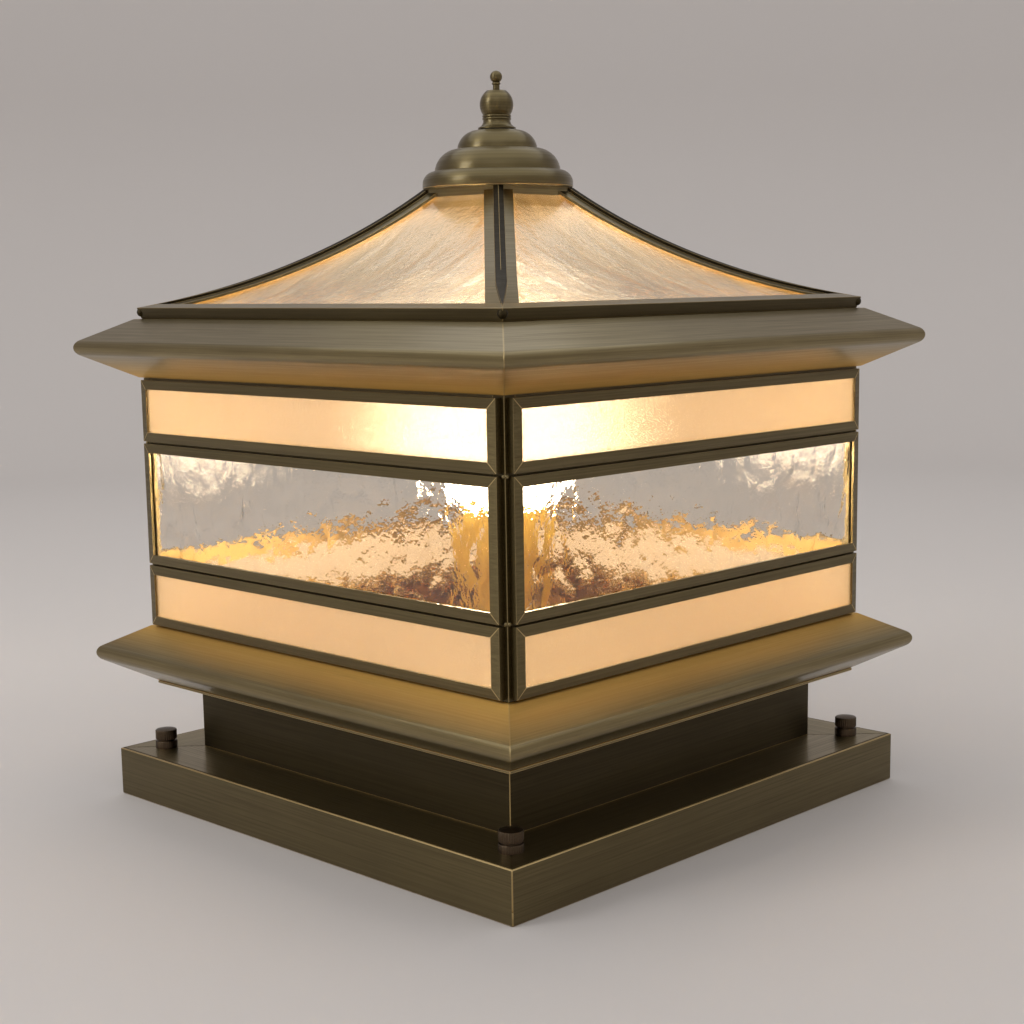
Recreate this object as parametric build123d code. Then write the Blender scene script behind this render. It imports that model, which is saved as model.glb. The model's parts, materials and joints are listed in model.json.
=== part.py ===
from build123d import *
import math
import os

# Pillar lantern. Millimetres, +Z up, origin at the middle of the base's underside.
# The front is towards -Y. Heights stack up from the ground, and plan sizes step in and out from the base.

# Base tray, folded from sheet and open below
base_side = 250.0
base_height = 21.5
base_sheet = 1.5
base_edge_radius = 1.0
corner_slit_width = 0.6
corner_slit_top_margin = 2.5
corner_slit_bottom_margin = 5.5
seam_groove_width = 0.5
seam_groove_depth = 0.3

# Anchors: a collar and a knurled cap nut on each of the pillar's studs
anchor_edge_distance = 15.0
stud_radius = 2.5
anchor_hole_clearance = 0.5
collar_radius = 4.9
collar_height = 3.2
collar_clearance = 0.15
cap_nut_radius = 4.8
cap_nut_height = 5.6
cap_nut_waist_radius = 4.0
cap_nut_waist_height = 0.5
cap_nut_dome_height = 0.9
cap_nut_hole_depth = 3.6

# Neck box and the plate on it
deck_ledge = 27.2
neck_height = 29.9
neck_sheet = 1.5
plate_overhang = 14.0
plate_sheet = 1.2
plate_opening_margin = 8.0

# Eaves: wedge-section rings of sheet with a rounded nose
body_inset = 10.0
eave_height = 25.6
eave_nose_height = 13.4
eave_nose_radius = 3.75
eave_sheet = 1.2
eave_tuck = 1.8
eave_flange = 14.0
plate_lip = 0.5
lower_eave_overhang = 16.2
upper_eave_overhang = 18.3
deck_inset = 1.0
deck_flange = 18.0

# Body: corner posts, rails, mitred frames and their panes
opal_tier_height = 27.0
clear_tier_height = 53.6
tier_gap = 1.0
frame_corner_step = 5.0
frame_bar = 4.0
frame_depth = 3.2
frame_bevel = 0.5
pane_thickness = 2.0
pane_overlap = 2.0
pane_clearance = 0.25
post_sheet = 1.2
post_setback = 0.3
rail_sheet = 1.2
rail_setback = 0.5
rail_end_clearance = 0.1

# Roof rim, hips and swept panes
rim_inset = 2.5
rim_height = 4.9
rim_flare = 1.5
rim_sheet = 1.2
rim_flange = 8.0
roof_rise = 49.1
roof_sag = 7.2
rib_height = 1.2
rib_width = 4.4
rib_taper = 26.0
hip_sheet = 1.0
hip_width = 12.4
hip_seat_clearance = 0.1
roof_pane_thickness = 2.5
roof_pane_gap = 1.5
roof_edge_clearance = 0.2

# Crown, cap and finial
crown_sheet = 1.2
crown_skirt_height = 10.0
crown_disc_clearance = 0.8
crown_corner_inset = 0.4
rod_hole_clearance = 0.8
cap_sheet = 1.0
cap_rest_clearance = 0.1
cap_rim_radius = 32.8
cap_rim_height = 2.0
cap_middle_radius = 27.4
cap_middle_height = 7.3
cap_top_radius = 17.4
cap_top_height = 16.7
cap_seat_radius = 9.8
cap_height = 24.5
cap_middle_bulge = 2.6
cap_top_bulge = 1.9
washer_radius = 7.4
washer_thickness = 0.6
washer_clearance = 0.3
finial_foot_radius = 8.2
finial_foot_edge = 0.6
finial_cove_depth = 0.66
finial_waist_radius = 5.9
finial_waist_height = 3.7
finial_bead_height = 1.1
finial_bead_bulge = 0.4
finial_ball_radius = 7.3
finial_ball_top_radius = 4.1
finial_stem_radius = 1.45
finial_stem_height = 2.3
finial_stem_bead_height = 1.2
finial_stem_bead_bulge = 0.45
finial_tip_radius = 2.65
finial_thread_depth = 12.0
rod_radius = 2.5
rod_end_clearance = 1.5
thread_clearance = 0.05

# Crossbar under the upper eave's deck
crossbar_width = 14.0
crossbar_thickness = 2.0
crossbar_overlap = 10.0
crossbar_screw_inset = 4.0
rod_nut_across_flats = 8.0
rod_nut_height = 4.0
rod_nut_tail = 2.0

# Small screws
screw_radius = 1.5
screw_length = 6.0
screw_head_radius = 2.8
screw_head_height = 1.8

# Lampholder on its bracket
bracket_length = 46.0
bracket_width = 26.0
bracket_height = 14.5
bracket_foot = 13.0
bracket_sheet = 1.2
holder_radius = 20.0
holder_height = 40.0
holder_shell_sheet = 0.4
holder_shell_setback = 2.0
holder_shell_clearance = 0.2

# Lamp with an E27 cap
lamp_cap_radius = 13.2
lamp_cap_height = 23.5
lamp_cap_clearance = 0.3
lamp_contact_radius = 4.8
lamp_contact_height = 3.5
lamp_contact_step = 1.2
lamp_seat_clearance = 0.3
lamp_mouth_clearance = 1.3
lamp_insulator_radius = 10.0
lamp_housing_height = 53.7
lamp_housing_foot_radius = 16.0
lamp_housing_bulge = 1.2
globe_radius = 30.0
globe_drop = 21.0
globe_wall = 1.2

# Terminal block, leads and cable grommet
terminal_distance = 58.0
terminal_length = 30.0
terminal_width = 17.0
terminal_height = 14.0
terminal_tab = 8.0
terminal_tab_height = 3.0
lead_radius = 1.0
lead_clearance = 0.1
lead_spacing = 10.0
lead_terminal_height = 7.0
lead_holder_height = 7.5
lead_plug_in = 2.5
lead_bend_share = 0.45
grommet_bore_radius = 4.5
grommet_wall = 2.0
grommet_lip = 2.0
grommet_lip_height = 2.0

# Plan half-sizes that follow
base_half = base_side / 2
anchor_half = base_half - anchor_edge_distance
neck_half = base_half - deck_ledge
plate_half = neck_half + plate_overhang
body_half = base_half - body_inset
post_half = body_half - frame_depth
frame_half = body_half - frame_corner_step
opening_half = frame_half - frame_bar
post_flange = post_half - opening_half - post_setback
eave_root_half = body_half - eave_tuck
deck_half = body_half - deck_inset
deck_opening_half = deck_half - deck_flange
rim_foot_half = deck_half - rim_inset
rim_top_half = rim_foot_half + rim_flare
crown_half = (cap_rim_radius - crown_corner_inset) / math.sqrt(2)
crown_disc_radius = cap_rim_radius - cap_sheet - crown_disc_clearance

# Heights that follow
plate_z = base_height + neck_height
lower_eave_z = plate_z + plate_sheet
body_z = lower_eave_z + eave_height
body_height = 2 * opal_tier_height + clear_tier_height + 4 * tier_gap
upper_eave_z = body_z + body_height
deck_z = upper_eave_z + eave_height
rim_top_z = deck_z + rim_height
crest_z = rim_top_z + roof_rise
cap_z = crest_z + cap_rest_clearance
cap_top_z = cap_z + cap_height
finial_z = cap_top_z + washer_thickness
holder_z = base_height + bracket_height
holder_top_z = holder_z + holder_height
holder_bore_depth = lamp_seat_clearance + lamp_contact_height + lamp_cap_height - lamp_mouth_clearance
holder_floor_z = holder_top_z - holder_bore_depth
lamp_cap_z = holder_floor_z + lamp_seat_clearance + lamp_contact_height
housing_z = lamp_cap_z + lamp_cap_height
globe_z = housing_z + lamp_housing_height
crossbar_z = deck_z - eave_sheet - crossbar_thickness
rod_z = crossbar_z - rod_nut_height - rod_nut_tail
rod_top_z = finial_z + finial_thread_depth - rod_end_clearance
rod_hole_radius = rod_radius + rod_hole_clearance

sides = ["front", "right", "back", "left"]
corners = ["front_right", "back_right", "back_left", "front_left"]
quarter_turn = 90.0


def block(x_low, x_high, y_low, y_high, z_low, z_high):
    """A box between two corners."""
    middle = Pos((x_low + x_high) / 2, (y_low + y_high) / 2, (z_low + z_high) / 2)
    return middle * Box(x_high - x_low, y_high - y_low, z_high - z_low)


def square_block(half, z_low, z_high):
    """A square slab about the Z axis."""
    return block(-half, half, -half, half, z_low, z_high)


def post(x, y, radius, z_low, z_high):
    """An upright cylinder."""
    return Pos(x, y, (z_low + z_high) / 2) * Cylinder(radius, z_high - z_low)


def turned(shape, quarter):
    """The shape turned about Z from the front to another side."""
    return Rot(0, 0, quarter * quarter_turn) * shape


def prism(points, z_low, z_high):
    """An upright prism over a plan outline."""
    outline = Plane.XY.offset(z_low) * make_face(Polyline(*points, close=True))
    return extrude(outline, z_high - z_low)


def lathe(edges):
    """A turned piece from its half section, given as edges in (radius, height)."""
    section = Plane.XZ * make_face(Wire(edges))
    return revolve(section, Axis.Z)


def outline_edges(*points):
    """Straight edges along a run of points."""
    return [Line(a, b).edge() for a, b in zip(points, points[1:])]


def bulged(start, end, bulge):
    """An arc between two points, standing out to the right of the way from start to end by the bulge."""
    run = Vector(*end) - Vector(*start)
    middle = (Vector(*start) + Vector(*end)) / 2
    aside = Vector(run.Y, -run.X).normalized() * bulge
    return ThreePointArc(start, middle + aside, end).edge()


def mitred_ring(section):
    """A square ring with mitred corners, from a face in (half-width, height)."""
    reach = section.bounding_box().max.X
    low = section.bounding_box().min.Y
    high = section.bounding_box().max.Y
    bar = extrude(Plane.XZ * section, reach, both=True)
    wedge = prism([(0, 0), (reach, -reach), (reach, reach)], low, high)
    side = bar & wedge
    ring = side
    for quarter in range(1, 4):
        ring += turned(side, quarter)
    return ring


def tangent_point(point, centre, radius, side):
    """Where a line from a point touches a circle, on the side given as 1 or -1."""
    run = Vector(*centre) - Vector(*point)
    turn = side * math.asin(radius / run.length)
    reach = math.sqrt(run.length**2 - radius**2)
    angle = math.atan2(run.Y, run.X) + turn
    return (point[0] + reach * math.cos(angle), point[1] + reach * math.sin(angle))


def eave_ring(foot_half, nose_half, top_half, foot_z, top_flange):
    """A sheet ring: flange, underside, rounded nose, top slope and flange."""
    top_z = foot_z + eave_height
    nose_z = foot_z + eave_nose_height
    foot = (foot_half, foot_z)
    top = (top_half, top_z)
    centre = (nose_half - eave_nose_radius, nose_z)
    below = tangent_point(foot, centre, eave_nose_radius, -1)
    above = tangent_point(top, centre, eave_nose_radius, 1)
    path = Wire(
        outline_edges((foot_half - eave_flange, foot_z), foot, below)
        + [ThreePointArc(below, (nose_half, nose_z), above).edge()]
        + outline_edges(above, top, (top_half - top_flange, top_z))
    )
    return mitred_ring(make_face(path.offset_2d(eave_sheet, side=Side.LEFT)))


def small_screw(x, y, seat_z):
    """A pan-head screw whose head sits at a height."""
    head = post(x, y, screw_head_radius, seat_z, seat_z + screw_head_height)
    return head + post(x, y, screw_radius, seat_z - screw_length, seat_z)


def screw_hole(x, y, z_low, z_high):
    """The hole for such a screw."""
    return post(x, y, screw_radius + thread_clearance, z_low, z_high)


def bracket_screw_places():
    """The bracket's two screws, in the middle of its feet."""
    x = bracket_length / 2 + bracket_foot / 2
    return [(-x, 0), (x, 0)]


def terminal_screw_places():
    """The terminal block's two screws, in the middle of its tabs."""
    x = terminal_length / 2 + terminal_tab / 2
    return [(-x, terminal_distance), (x, terminal_distance)]


def crossbar_screw_places():
    """The crossbar's two screws, through the deck's flange."""
    x = deck_opening_half + crossbar_screw_inset
    return [(-x, 0), (x, 0)]


def make_base_tray():
    """A folded tray with slit corners, seam grooves on its deck, anchor holes and the cable hole."""
    tray = square_block(base_half, 0, base_height)
    tray = fillet(tray.faces().sort_by(Axis.Z)[-1].edges(), base_edge_radius)
    tray -= square_block(base_half - base_sheet, 0, base_height - base_sheet)
    deck_under = base_height - base_sheet
    slit_low = corner_slit_bottom_margin
    slit_high = base_height - corner_slit_top_margin
    slit_reach = 2 * base_sheet
    seam_start = neck_half * math.sqrt(2)
    seam_end = base_half * math.sqrt(2)
    for quarter in range(4):
        diagonal = Rot(0, 0, quarter * quarter_turn + quarter_turn / 2)
        corner = base_half * math.sqrt(2)
        slit_half = corner_slit_width / 2
        tray -= diagonal * block(corner - slit_reach, corner, -slit_half, slit_half, slit_low, slit_high)
        groove_half = seam_groove_width / 2
        groove_z = base_height - seam_groove_depth
        tray -= diagonal * block(seam_start, seam_end, -groove_half, groove_half, groove_z, base_height)
    hole_radius = stud_radius + anchor_hole_clearance
    for x, y in anchor_places():
        tray -= post(x, y, hole_radius, deck_under, base_height)
    tray -= post(0, 0, grommet_bore_radius + grommet_wall, deck_under, base_height)
    for x, y in bracket_screw_places() + terminal_screw_places():
        tray -= screw_hole(x, y, deck_under, base_height)
    return tray


def anchor_places():
    """The four studs."""
    return [(x, y) for x in (-anchor_half, anchor_half) for y in (-anchor_half, anchor_half)]


def make_anchor_collars():
    """Round collars on the deck, one on each stud."""
    top = base_height + collar_height
    hole = stud_radius + collar_clearance
    collars = []
    for x, y in anchor_places():
        collar = post(x, y, collar_radius, base_height, top) - post(x, y, hole, base_height, top)
        collars.append(collar.solid())
    return Compound(collars)


def make_anchor_cap_nuts():
    """Cap nuts with a narrow waist and a domed top."""
    waist_top = cap_nut_waist_height + (cap_nut_radius - cap_nut_waist_radius) / 2
    shoulder = cap_nut_height - cap_nut_dome_height
    profile = outline_edges(
        (0, cap_nut_height),
        (0, cap_nut_hole_depth),
        (stud_radius, cap_nut_hole_depth),
        (stud_radius, 0),
        (cap_nut_waist_radius, 0),
        (cap_nut_waist_radius, cap_nut_waist_height),
        (cap_nut_radius, waist_top),
        (cap_nut_radius, shoulder),
    )
    dome_radius = (cap_nut_radius**2 + cap_nut_dome_height**2) / (2 * cap_nut_dome_height)
    half_way = math.asin(cap_nut_radius / dome_radius) / 2
    dome_middle = (
        dome_radius * math.sin(half_way),
        cap_nut_height - dome_radius * (1 - math.cos(half_way)),
    )
    dome = ThreePointArc((cap_nut_radius, shoulder), dome_middle, (0, cap_nut_height))
    nut = lathe(profile + [dome.edge()])
    seat = base_height + collar_height
    return Compound([(Pos(x, y, seat) * nut).solid() for x, y in anchor_places()])


def make_neck_box():
    """A square tube on the deck."""
    tube = square_block(neck_half, base_height, plate_z)
    return tube - square_block(neck_half - neck_sheet, base_height, plate_z)


def make_lower_plate():
    """A flat ring on the neck, under the lower eave."""
    opening = neck_half - neck_sheet - plate_opening_margin
    plate = square_block(plate_half, plate_z, lower_eave_z)
    return plate - square_block(opening, plate_z, lower_eave_z)


def make_lower_eave():
    """The ring between the plate and the body."""
    nose = body_half + lower_eave_overhang
    return eave_ring(plate_half - plate_lip, nose, eave_root_half, lower_eave_z, eave_flange)


def make_upper_eave():
    """The ring between the body and the roof, with the crossbar's screw holes in its deck."""
    nose = body_half + upper_eave_overhang
    eave = eave_ring(eave_root_half, nose, deck_half, upper_eave_z, deck_flange)
    for x, y in crossbar_screw_places():
        eave -= screw_hole(x, y, deck_z - eave_sheet, deck_z)
    return eave


def make_corner_posts():
    """Four L angles, one in each corner of the body."""
    inner = post_half - post_flange
    web = post_half - post_sheet
    angle = prism(
        [
            (inner, -post_half),
            (post_half, -post_half),
            (post_half, -inner),
            (web, -inner),
            (web, -web),
            (inner, -web),
        ],
        body_z,
        upper_eave_z,
    )
    return Compound([turned(angle, quarter).solid() for quarter in range(4)])


def tier_levels():
    """Bottom and top of each tier's frames, from the lowest tier up."""
    levels = []
    z = body_z
    for height in (opal_tier_height, clear_tier_height, opal_tier_height):
        levels.append((z + tier_gap, z + tier_gap + height))
        z += tier_gap + height
    return levels


def make_tier_rails():
    """Flat strips behind the joints between the tiers, and behind the gaps at the eaves."""
    reach = frame_bar - rail_setback
    levels = tier_levels()
    spans = [(body_z, levels[0][0] + reach)]
    for lower, upper in zip(levels, levels[1:]):
        spans.append((lower[1] - reach, upper[0] + reach))
    spans.append((levels[-1][1] - reach, upper_eave_z))
    half_length = post_half - post_flange - rail_end_clearance
    rails = []
    for quarter in range(4):
        for low, high in spans:
            rail = block(-half_length, half_length, -post_half, rail_sheet - post_half, low, high)
            rails.append(turned(rail, quarter).solid())
    return Compound(rails)


def make_frame(low, high):
    """One front frame: mitred bars that slope away from the pane, with a rebate behind."""
    rebate_half = opening_half + pane_overlap
    rebate_low = low + frame_bar - pane_overlap
    rebate_high = high - frame_bar + pane_overlap
    middle = (low + high) / 2
    height = high - low
    front = Plane((0, -body_half, middle), x_dir=(1, 0, 0), z_dir=(0, -1, 0))
    inner_edge = front * Rectangle(2 * opening_half, height - 2 * frame_bar)
    outer_edge = front.offset(-frame_bevel) * Rectangle(2 * frame_half, height)
    bars = block(-frame_half, frame_half, frame_bevel - body_half, -post_half, low, high)
    bars += loft([outer_edge, inner_edge], ruled=True)
    bars -= block(-opening_half, opening_half, -body_half, -post_half, low + frame_bar, high - frame_bar)
    pane_front = -post_half - pane_thickness
    bars -= block(-rebate_half, rebate_half, pane_front, -post_half, rebate_low, rebate_high)
    return bars


def make_pane(low, high):
    """One front pane, in its frame's rebate and trapped by the posts and rails behind it."""
    inset = frame_bar - pane_overlap + pane_clearance
    half = opening_half + pane_overlap - pane_clearance
    front = -post_half - pane_thickness
    return block(-half, half, front, -post_half, low + inset, high - inset)


def make_crossbar():
    """A flat bar under the upper eave's deck, with a hole for the tie rod."""
    half_length = deck_opening_half + crossbar_overlap
    top = crossbar_z + crossbar_thickness
    bar = block(-half_length, half_length, -crossbar_width / 2, crossbar_width / 2, crossbar_z, top)
    bar -= post(0, 0, rod_radius + thread_clearance, crossbar_z, top)
    for x, y in crossbar_screw_places():
        bar -= screw_hole(x, y, crossbar_z, top)
    return bar


def make_rod_nuts():
    """Two hexagon nuts, one each side of the crossbar."""
    nuts = []
    for z in (crossbar_z - rod_nut_height, crossbar_z + crossbar_thickness):
        across_corners = rod_nut_across_flats / math.cos(math.radians(30))
        hexagon = Plane.XY.offset(z) * RegularPolygon(across_corners / 2, 6)
        nut = extrude(hexagon, rod_nut_height)
        nut -= post(0, 0, rod_radius + thread_clearance, z, z + rod_nut_height)
        nuts.append(nut.solid())
    return Compound(nuts)


def make_roof_rim():
    """A flared strip with an inward flange that lies on the deck."""
    wall = rim_sheet * math.hypot(rim_height, rim_flare) / rim_height
    inner_foot = rim_foot_half - wall + rim_flare * rim_sheet / rim_height
    outline = [
        (rim_foot_half - rim_flange, deck_z),
        (rim_foot_half, deck_z),
        (rim_top_half, rim_top_z),
        (rim_top_half - wall, rim_top_z),
        (inner_foot, deck_z + rim_sheet),
        (rim_foot_half - rim_flange, deck_z + rim_sheet),
    ]
    return mitred_ring(make_face(Polyline(*outline, close=True)))


def roof_sweep():
    """Centre and radius, in (half-width, height), of the arc that the hips' crest follows."""
    foot = Vector(rim_top_half, rim_top_z)
    top = Vector(crown_half, crest_z)
    chord = top - foot
    radius = (chord.length**2 / 4 + roof_sag**2) / (2 * roof_sag)
    outward = Vector(chord.Y, -chord.X).normalized()
    centre = (foot + top) / 2 + outward * (radius - roof_sag)
    return centre, radius


def roof_layer(depth, thickness):
    """A swept sheet along the right-hand side, its top face the given depth under the hips' crest."""
    centre, radius = roof_sweep()
    ring = Circle(radius + depth + thickness) - Circle(radius + depth)
    return extrude(Plane.XZ * Pos(centre.X, centre.Y) * ring, rim_top_half, both=True)


def roof_span():
    """Nearest and furthest half-width of the roof's pieces: from the crown's skirt to the rim's wall."""
    near = crown_half + roof_edge_clearance
    far = rim_foot_half - rim_sheet - roof_edge_clearance
    return near, far


def make_roof_pane():
    """One pane on the right-hand side, standing in the rim and clear of its neighbours under the hips."""
    near, far = roof_span()
    gap = roof_pane_gap / 2 * math.sqrt(2)
    plan = [(near, gap - near), (far, gap - far), (far, far - gap), (near, near - gap)]
    depth = rib_height + hip_sheet + hip_seat_clearance
    space = prism(plan, deck_z + rim_sheet, crest_z)
    return roof_layer(depth, roof_pane_thickness) & space


def make_roof_hip():
    """One hip bar in the back right corner: two flanges on the panes, and a rib that tapers to its foot."""
    near, far = roof_span()
    flange = hip_width / 2 * math.sqrt(2)
    rib = rib_width / 2 * math.sqrt(2)
    knee = far - rib_taper
    flange_plan = [(near, near), (far, far), (far, far - flange), (near, near - flange)]
    rib_plan = [(near, near), (far, far), (knee, knee - rib), (near, near - rib)]
    flange_half = roof_layer(rib_height, hip_sheet) & prism(flange_plan, deck_z, crest_z)
    rib_half = roof_layer(0, rib_height) & prism(rib_plan, deck_z, crest_z)
    half = flange_half + rib_half
    diagonal = Plane((0, 0, 0), x_dir=(0, 0, 1), z_dir=(1, -1, 0))
    return half + mirror(half, about=diagonal)


def make_crown():
    """A disc under the cap, with a square skirt that the hips and panes run up to."""
    skirt_low = cap_z - crown_skirt_height
    skirt = square_block(crown_half, skirt_low, cap_z)
    skirt -= square_block(crown_half - crown_sheet, skirt_low, cap_z)
    disc = post(0, 0, crown_disc_radius, cap_z, cap_z + crown_sheet)
    return skirt + disc - post(0, 0, rod_hole_radius, cap_z, cap_z + crown_sheet)


def make_cap():
    """A spun cap: a rounded rim and two domed steps, hollow below, with the tie rod's hole in its top."""
    shoulder = cap_middle_height - cap_rim_height
    rim_low = (cap_rim_radius, 0)
    rim_high = (cap_rim_radius, cap_rim_height)
    middle_low = (cap_middle_radius, cap_middle_height)
    top_low = (cap_top_radius, cap_top_height)
    seat = (cap_seat_radius, cap_height)
    inner_bulge = (cap_rim_radius - cap_middle_radius) * (1 - math.cos(math.radians(45)))
    rim_middle = (cap_rim_radius - inner_bulge, cap_rim_height + shoulder * math.sin(math.radians(45)))
    path = Wire(
        outline_edges(rim_low, rim_high)
        + [
            ThreePointArc(rim_high, rim_middle, middle_low).edge(),
            bulged(middle_low, top_low, cap_middle_bulge),
            bulged(top_low, seat, cap_top_bulge),
        ]
        + outline_edges(seat, (rod_hole_radius, cap_height))
    )
    section = make_face(path.offset_2d(cap_sheet, side=Side.LEFT))
    return Pos(0, 0, cap_z) * revolve(Plane.XZ * section, Axis.Z)


def make_finial_washer():
    """A thin seal between the cap and the finial."""
    ring = post(0, 0, washer_radius, cap_top_z, finial_z)
    return ring - post(0, 0, rod_radius + washer_clearance, cap_top_z, finial_z)


def make_finial():
    """A turned finial: flared foot, two beads, a ball, a stem with a bead and a tip, on a blind thread."""
    bead_1 = finial_waist_height + finial_bead_height
    ball_low = bead_1 + finial_bead_height
    ball_drop = math.sqrt(finial_ball_radius**2 - finial_waist_radius**2)
    ball_rise = math.sqrt(finial_ball_radius**2 - finial_ball_top_radius**2)
    ball_middle = ball_low + ball_drop
    ball_high = ball_middle + ball_rise
    stem_high = ball_high + finial_stem_height
    tip_low = stem_high + finial_stem_bead_height
    tip_middle = tip_low + math.sqrt(finial_tip_radius**2 - finial_stem_radius**2)
    tip_high = tip_middle + finial_tip_radius
    bore = rod_radius + thread_clearance
    foot_top = (finial_foot_radius, finial_foot_edge)
    waist = (finial_waist_radius, finial_waist_height)
    edges = outline_edges(
        (0, tip_high),
        (0, finial_thread_depth),
        (bore, finial_thread_depth),
        (bore, 0),
        (finial_foot_radius, 0),
        foot_top,
    )
    edges += [
        bulged(foot_top, waist, -finial_cove_depth),
        bulged(waist, (finial_waist_radius, bead_1), finial_bead_bulge),
        bulged((finial_waist_radius, bead_1), (finial_waist_radius, ball_low), finial_bead_bulge),
        ThreePointArc(
            (finial_waist_radius, ball_low),
            (finial_ball_radius, ball_middle),
            (finial_ball_top_radius, ball_high),
        ).edge(),
    ]
    edges += outline_edges(
        (finial_ball_top_radius, ball_high), (finial_stem_radius, ball_high), (finial_stem_radius, stem_high)
    )
    edges += [
        bulged((finial_stem_radius, stem_high), (finial_stem_radius, tip_low), finial_stem_bead_bulge),
        ThreePointArc((finial_stem_radius, tip_low), (finial_tip_radius, tip_middle), (0, tip_high)).edge(),
    ]
    return Pos(0, 0, finial_z) * lathe(edges)


def make_holder_bracket():
    """A bridge of sheet on the deck, with a foot at each end."""
    half_length = bracket_length / 2
    half_width = bracket_width / 2
    outer = half_length + bracket_foot
    bridge = block(-half_length, half_length, -half_width, half_width, base_height, holder_z)
    bridge += block(-outer, outer, -half_width, half_width, base_height, base_height + bracket_sheet)
    inner = half_length - bracket_sheet
    bridge -= block(-inner, inner, -half_width, half_width, base_height, holder_z - bracket_sheet)
    for x, y in bracket_screw_places():
        bridge -= screw_hole(x, y, base_height, base_height + bracket_sheet)
    return bridge


def lead_ends():
    """How far across the two leads lie."""
    return [-lead_spacing / 2, lead_spacing / 2]


def make_lampholder():
    """A round holder with a blind bore, and two holes for the leads in its back."""
    shell_radius = lamp_cap_radius + lamp_cap_clearance + holder_shell_sheet
    bore = shell_radius + holder_shell_clearance
    holder = post(0, 0, holder_radius, holder_z, holder_top_z)
    holder -= post(0, 0, bore, holder_floor_z, holder_top_z)
    z = holder_z + lead_holder_height
    for x in lead_ends():
        surface = math.sqrt(holder_radius**2 - x**2)
        hole = Cylinder(lead_radius + lead_clearance, 2 * lead_plug_in)
        holder -= Pos(x, surface, z) * Rot(quarter_turn, 0, 0) * hole
    return holder


def make_holder_shell():
    """The threaded contact shell, standing on the bore's floor."""
    inner = lamp_cap_radius + lamp_cap_clearance
    top = holder_top_z - holder_shell_setback
    shell = post(0, 0, inner + holder_shell_sheet, holder_floor_z, top)
    return shell - post(0, 0, inner, holder_floor_z, top)


def make_lamp_contact():
    """The lamp's centre contact, on a cone of insulation."""
    low = holder_floor_z + lamp_seat_clearance
    return lathe(
        outline_edges(
            (0, low),
            (lamp_contact_radius, low),
            (lamp_contact_radius, low + lamp_contact_step),
            (lamp_insulator_radius, lamp_cap_z),
            (0, lamp_cap_z),
            (0, low),
        )
    )


def make_lamp_cap():
    """The lamp's screw cap."""
    return post(0, 0, lamp_cap_radius, lamp_cap_z, housing_z)


def globe_rim_radius():
    """Radius of the globe where it meets the housing."""
    return math.sqrt(globe_radius**2 - globe_drop**2)


def make_lamp_housing():
    """The lamp's flared housing, from its cap up to the globe."""
    foot = (lamp_housing_foot_radius, housing_z)
    rim = (globe_rim_radius(), globe_z)
    edges = outline_edges((0, globe_z), (0, housing_z), foot)
    edges.append(bulged(foot, rim, lamp_housing_bulge))
    edges += outline_edges(rim, (0, globe_z))
    return lathe(edges)


def make_lamp_globe():
    """A thin dome on the housing."""
    middle = globe_z + globe_drop
    outer = Sphere(globe_radius) - Sphere(globe_radius - globe_wall)
    below = block(-globe_radius, globe_radius, -globe_radius, globe_radius, -globe_radius, -globe_drop)
    return Pos(0, 0, middle) * (outer - below)


def make_terminal_block():
    """A block with a tab at each end and two holes for the leads."""
    low = base_height
    half = terminal_length / 2
    front = terminal_distance - terminal_width / 2
    back = terminal_distance + terminal_width / 2
    outer = half + terminal_tab
    body = block(-half, half, front, back, low, low + terminal_height)
    body += block(-outer, outer, front, back, low, low + terminal_tab_height)
    for x, y in terminal_screw_places():
        body -= screw_hole(x, y, low, low + terminal_tab_height)
    z = low + lead_terminal_height
    for x in lead_ends():
        hole = Cylinder(lead_radius + lead_clearance, 2 * lead_plug_in)
        body -= Pos(x, front, z) * Rot(quarter_turn, 0, 0) * hole
    return body


def make_supply_leads():
    """Two short leads that rise from the terminal block to the holder, with wide bends."""
    leads = []
    low = base_height + lead_terminal_height
    high = holder_z + lead_holder_height
    for x in lead_ends():
        start = terminal_distance - terminal_width / 2 + lead_plug_in - lead_clearance
        end = math.sqrt(holder_radius**2 - x**2) - lead_plug_in + lead_clearance
        middle = (start + end) / 2
        bend = lead_bend_share * min(start - middle, high - low)
        route = FilletPolyline((x, start, low), (x, middle, low), (x, middle, high), (x, end, high), radius=bend)
        section = Plane((x, start, low), z_dir=(0, -1, 0)) * Circle(lead_radius)
        leads.append(sweep(section, path=route).solid())
    return Compound(leads)


def make_cable_grommet():
    """A grommet in the deck's middle, with a lip above and below."""
    low = base_height - base_sheet - grommet_lip_height
    high = base_height + grommet_lip_height
    outer = grommet_bore_radius + grommet_wall
    flange = outer + grommet_lip
    body = post(0, 0, outer, low, high)
    body += post(0, 0, flange, low, low + grommet_lip_height)
    body += post(0, 0, flange, high - grommet_lip_height, high)
    return body - post(0, 0, grommet_bore_radius, low, high)


def make_small_screws():
    """The screws of the bracket, the terminal block and the crossbar."""
    screws = [small_screw(x, y, base_height + bracket_sheet) for x, y in bracket_screw_places()]
    screws += [small_screw(x, y, base_height + terminal_tab_height) for x, y in terminal_screw_places()]
    screws += [small_screw(x, y, deck_z) for x, y in crossbar_screw_places()]
    return Compound([screw.solid() for screw in screws])


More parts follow.
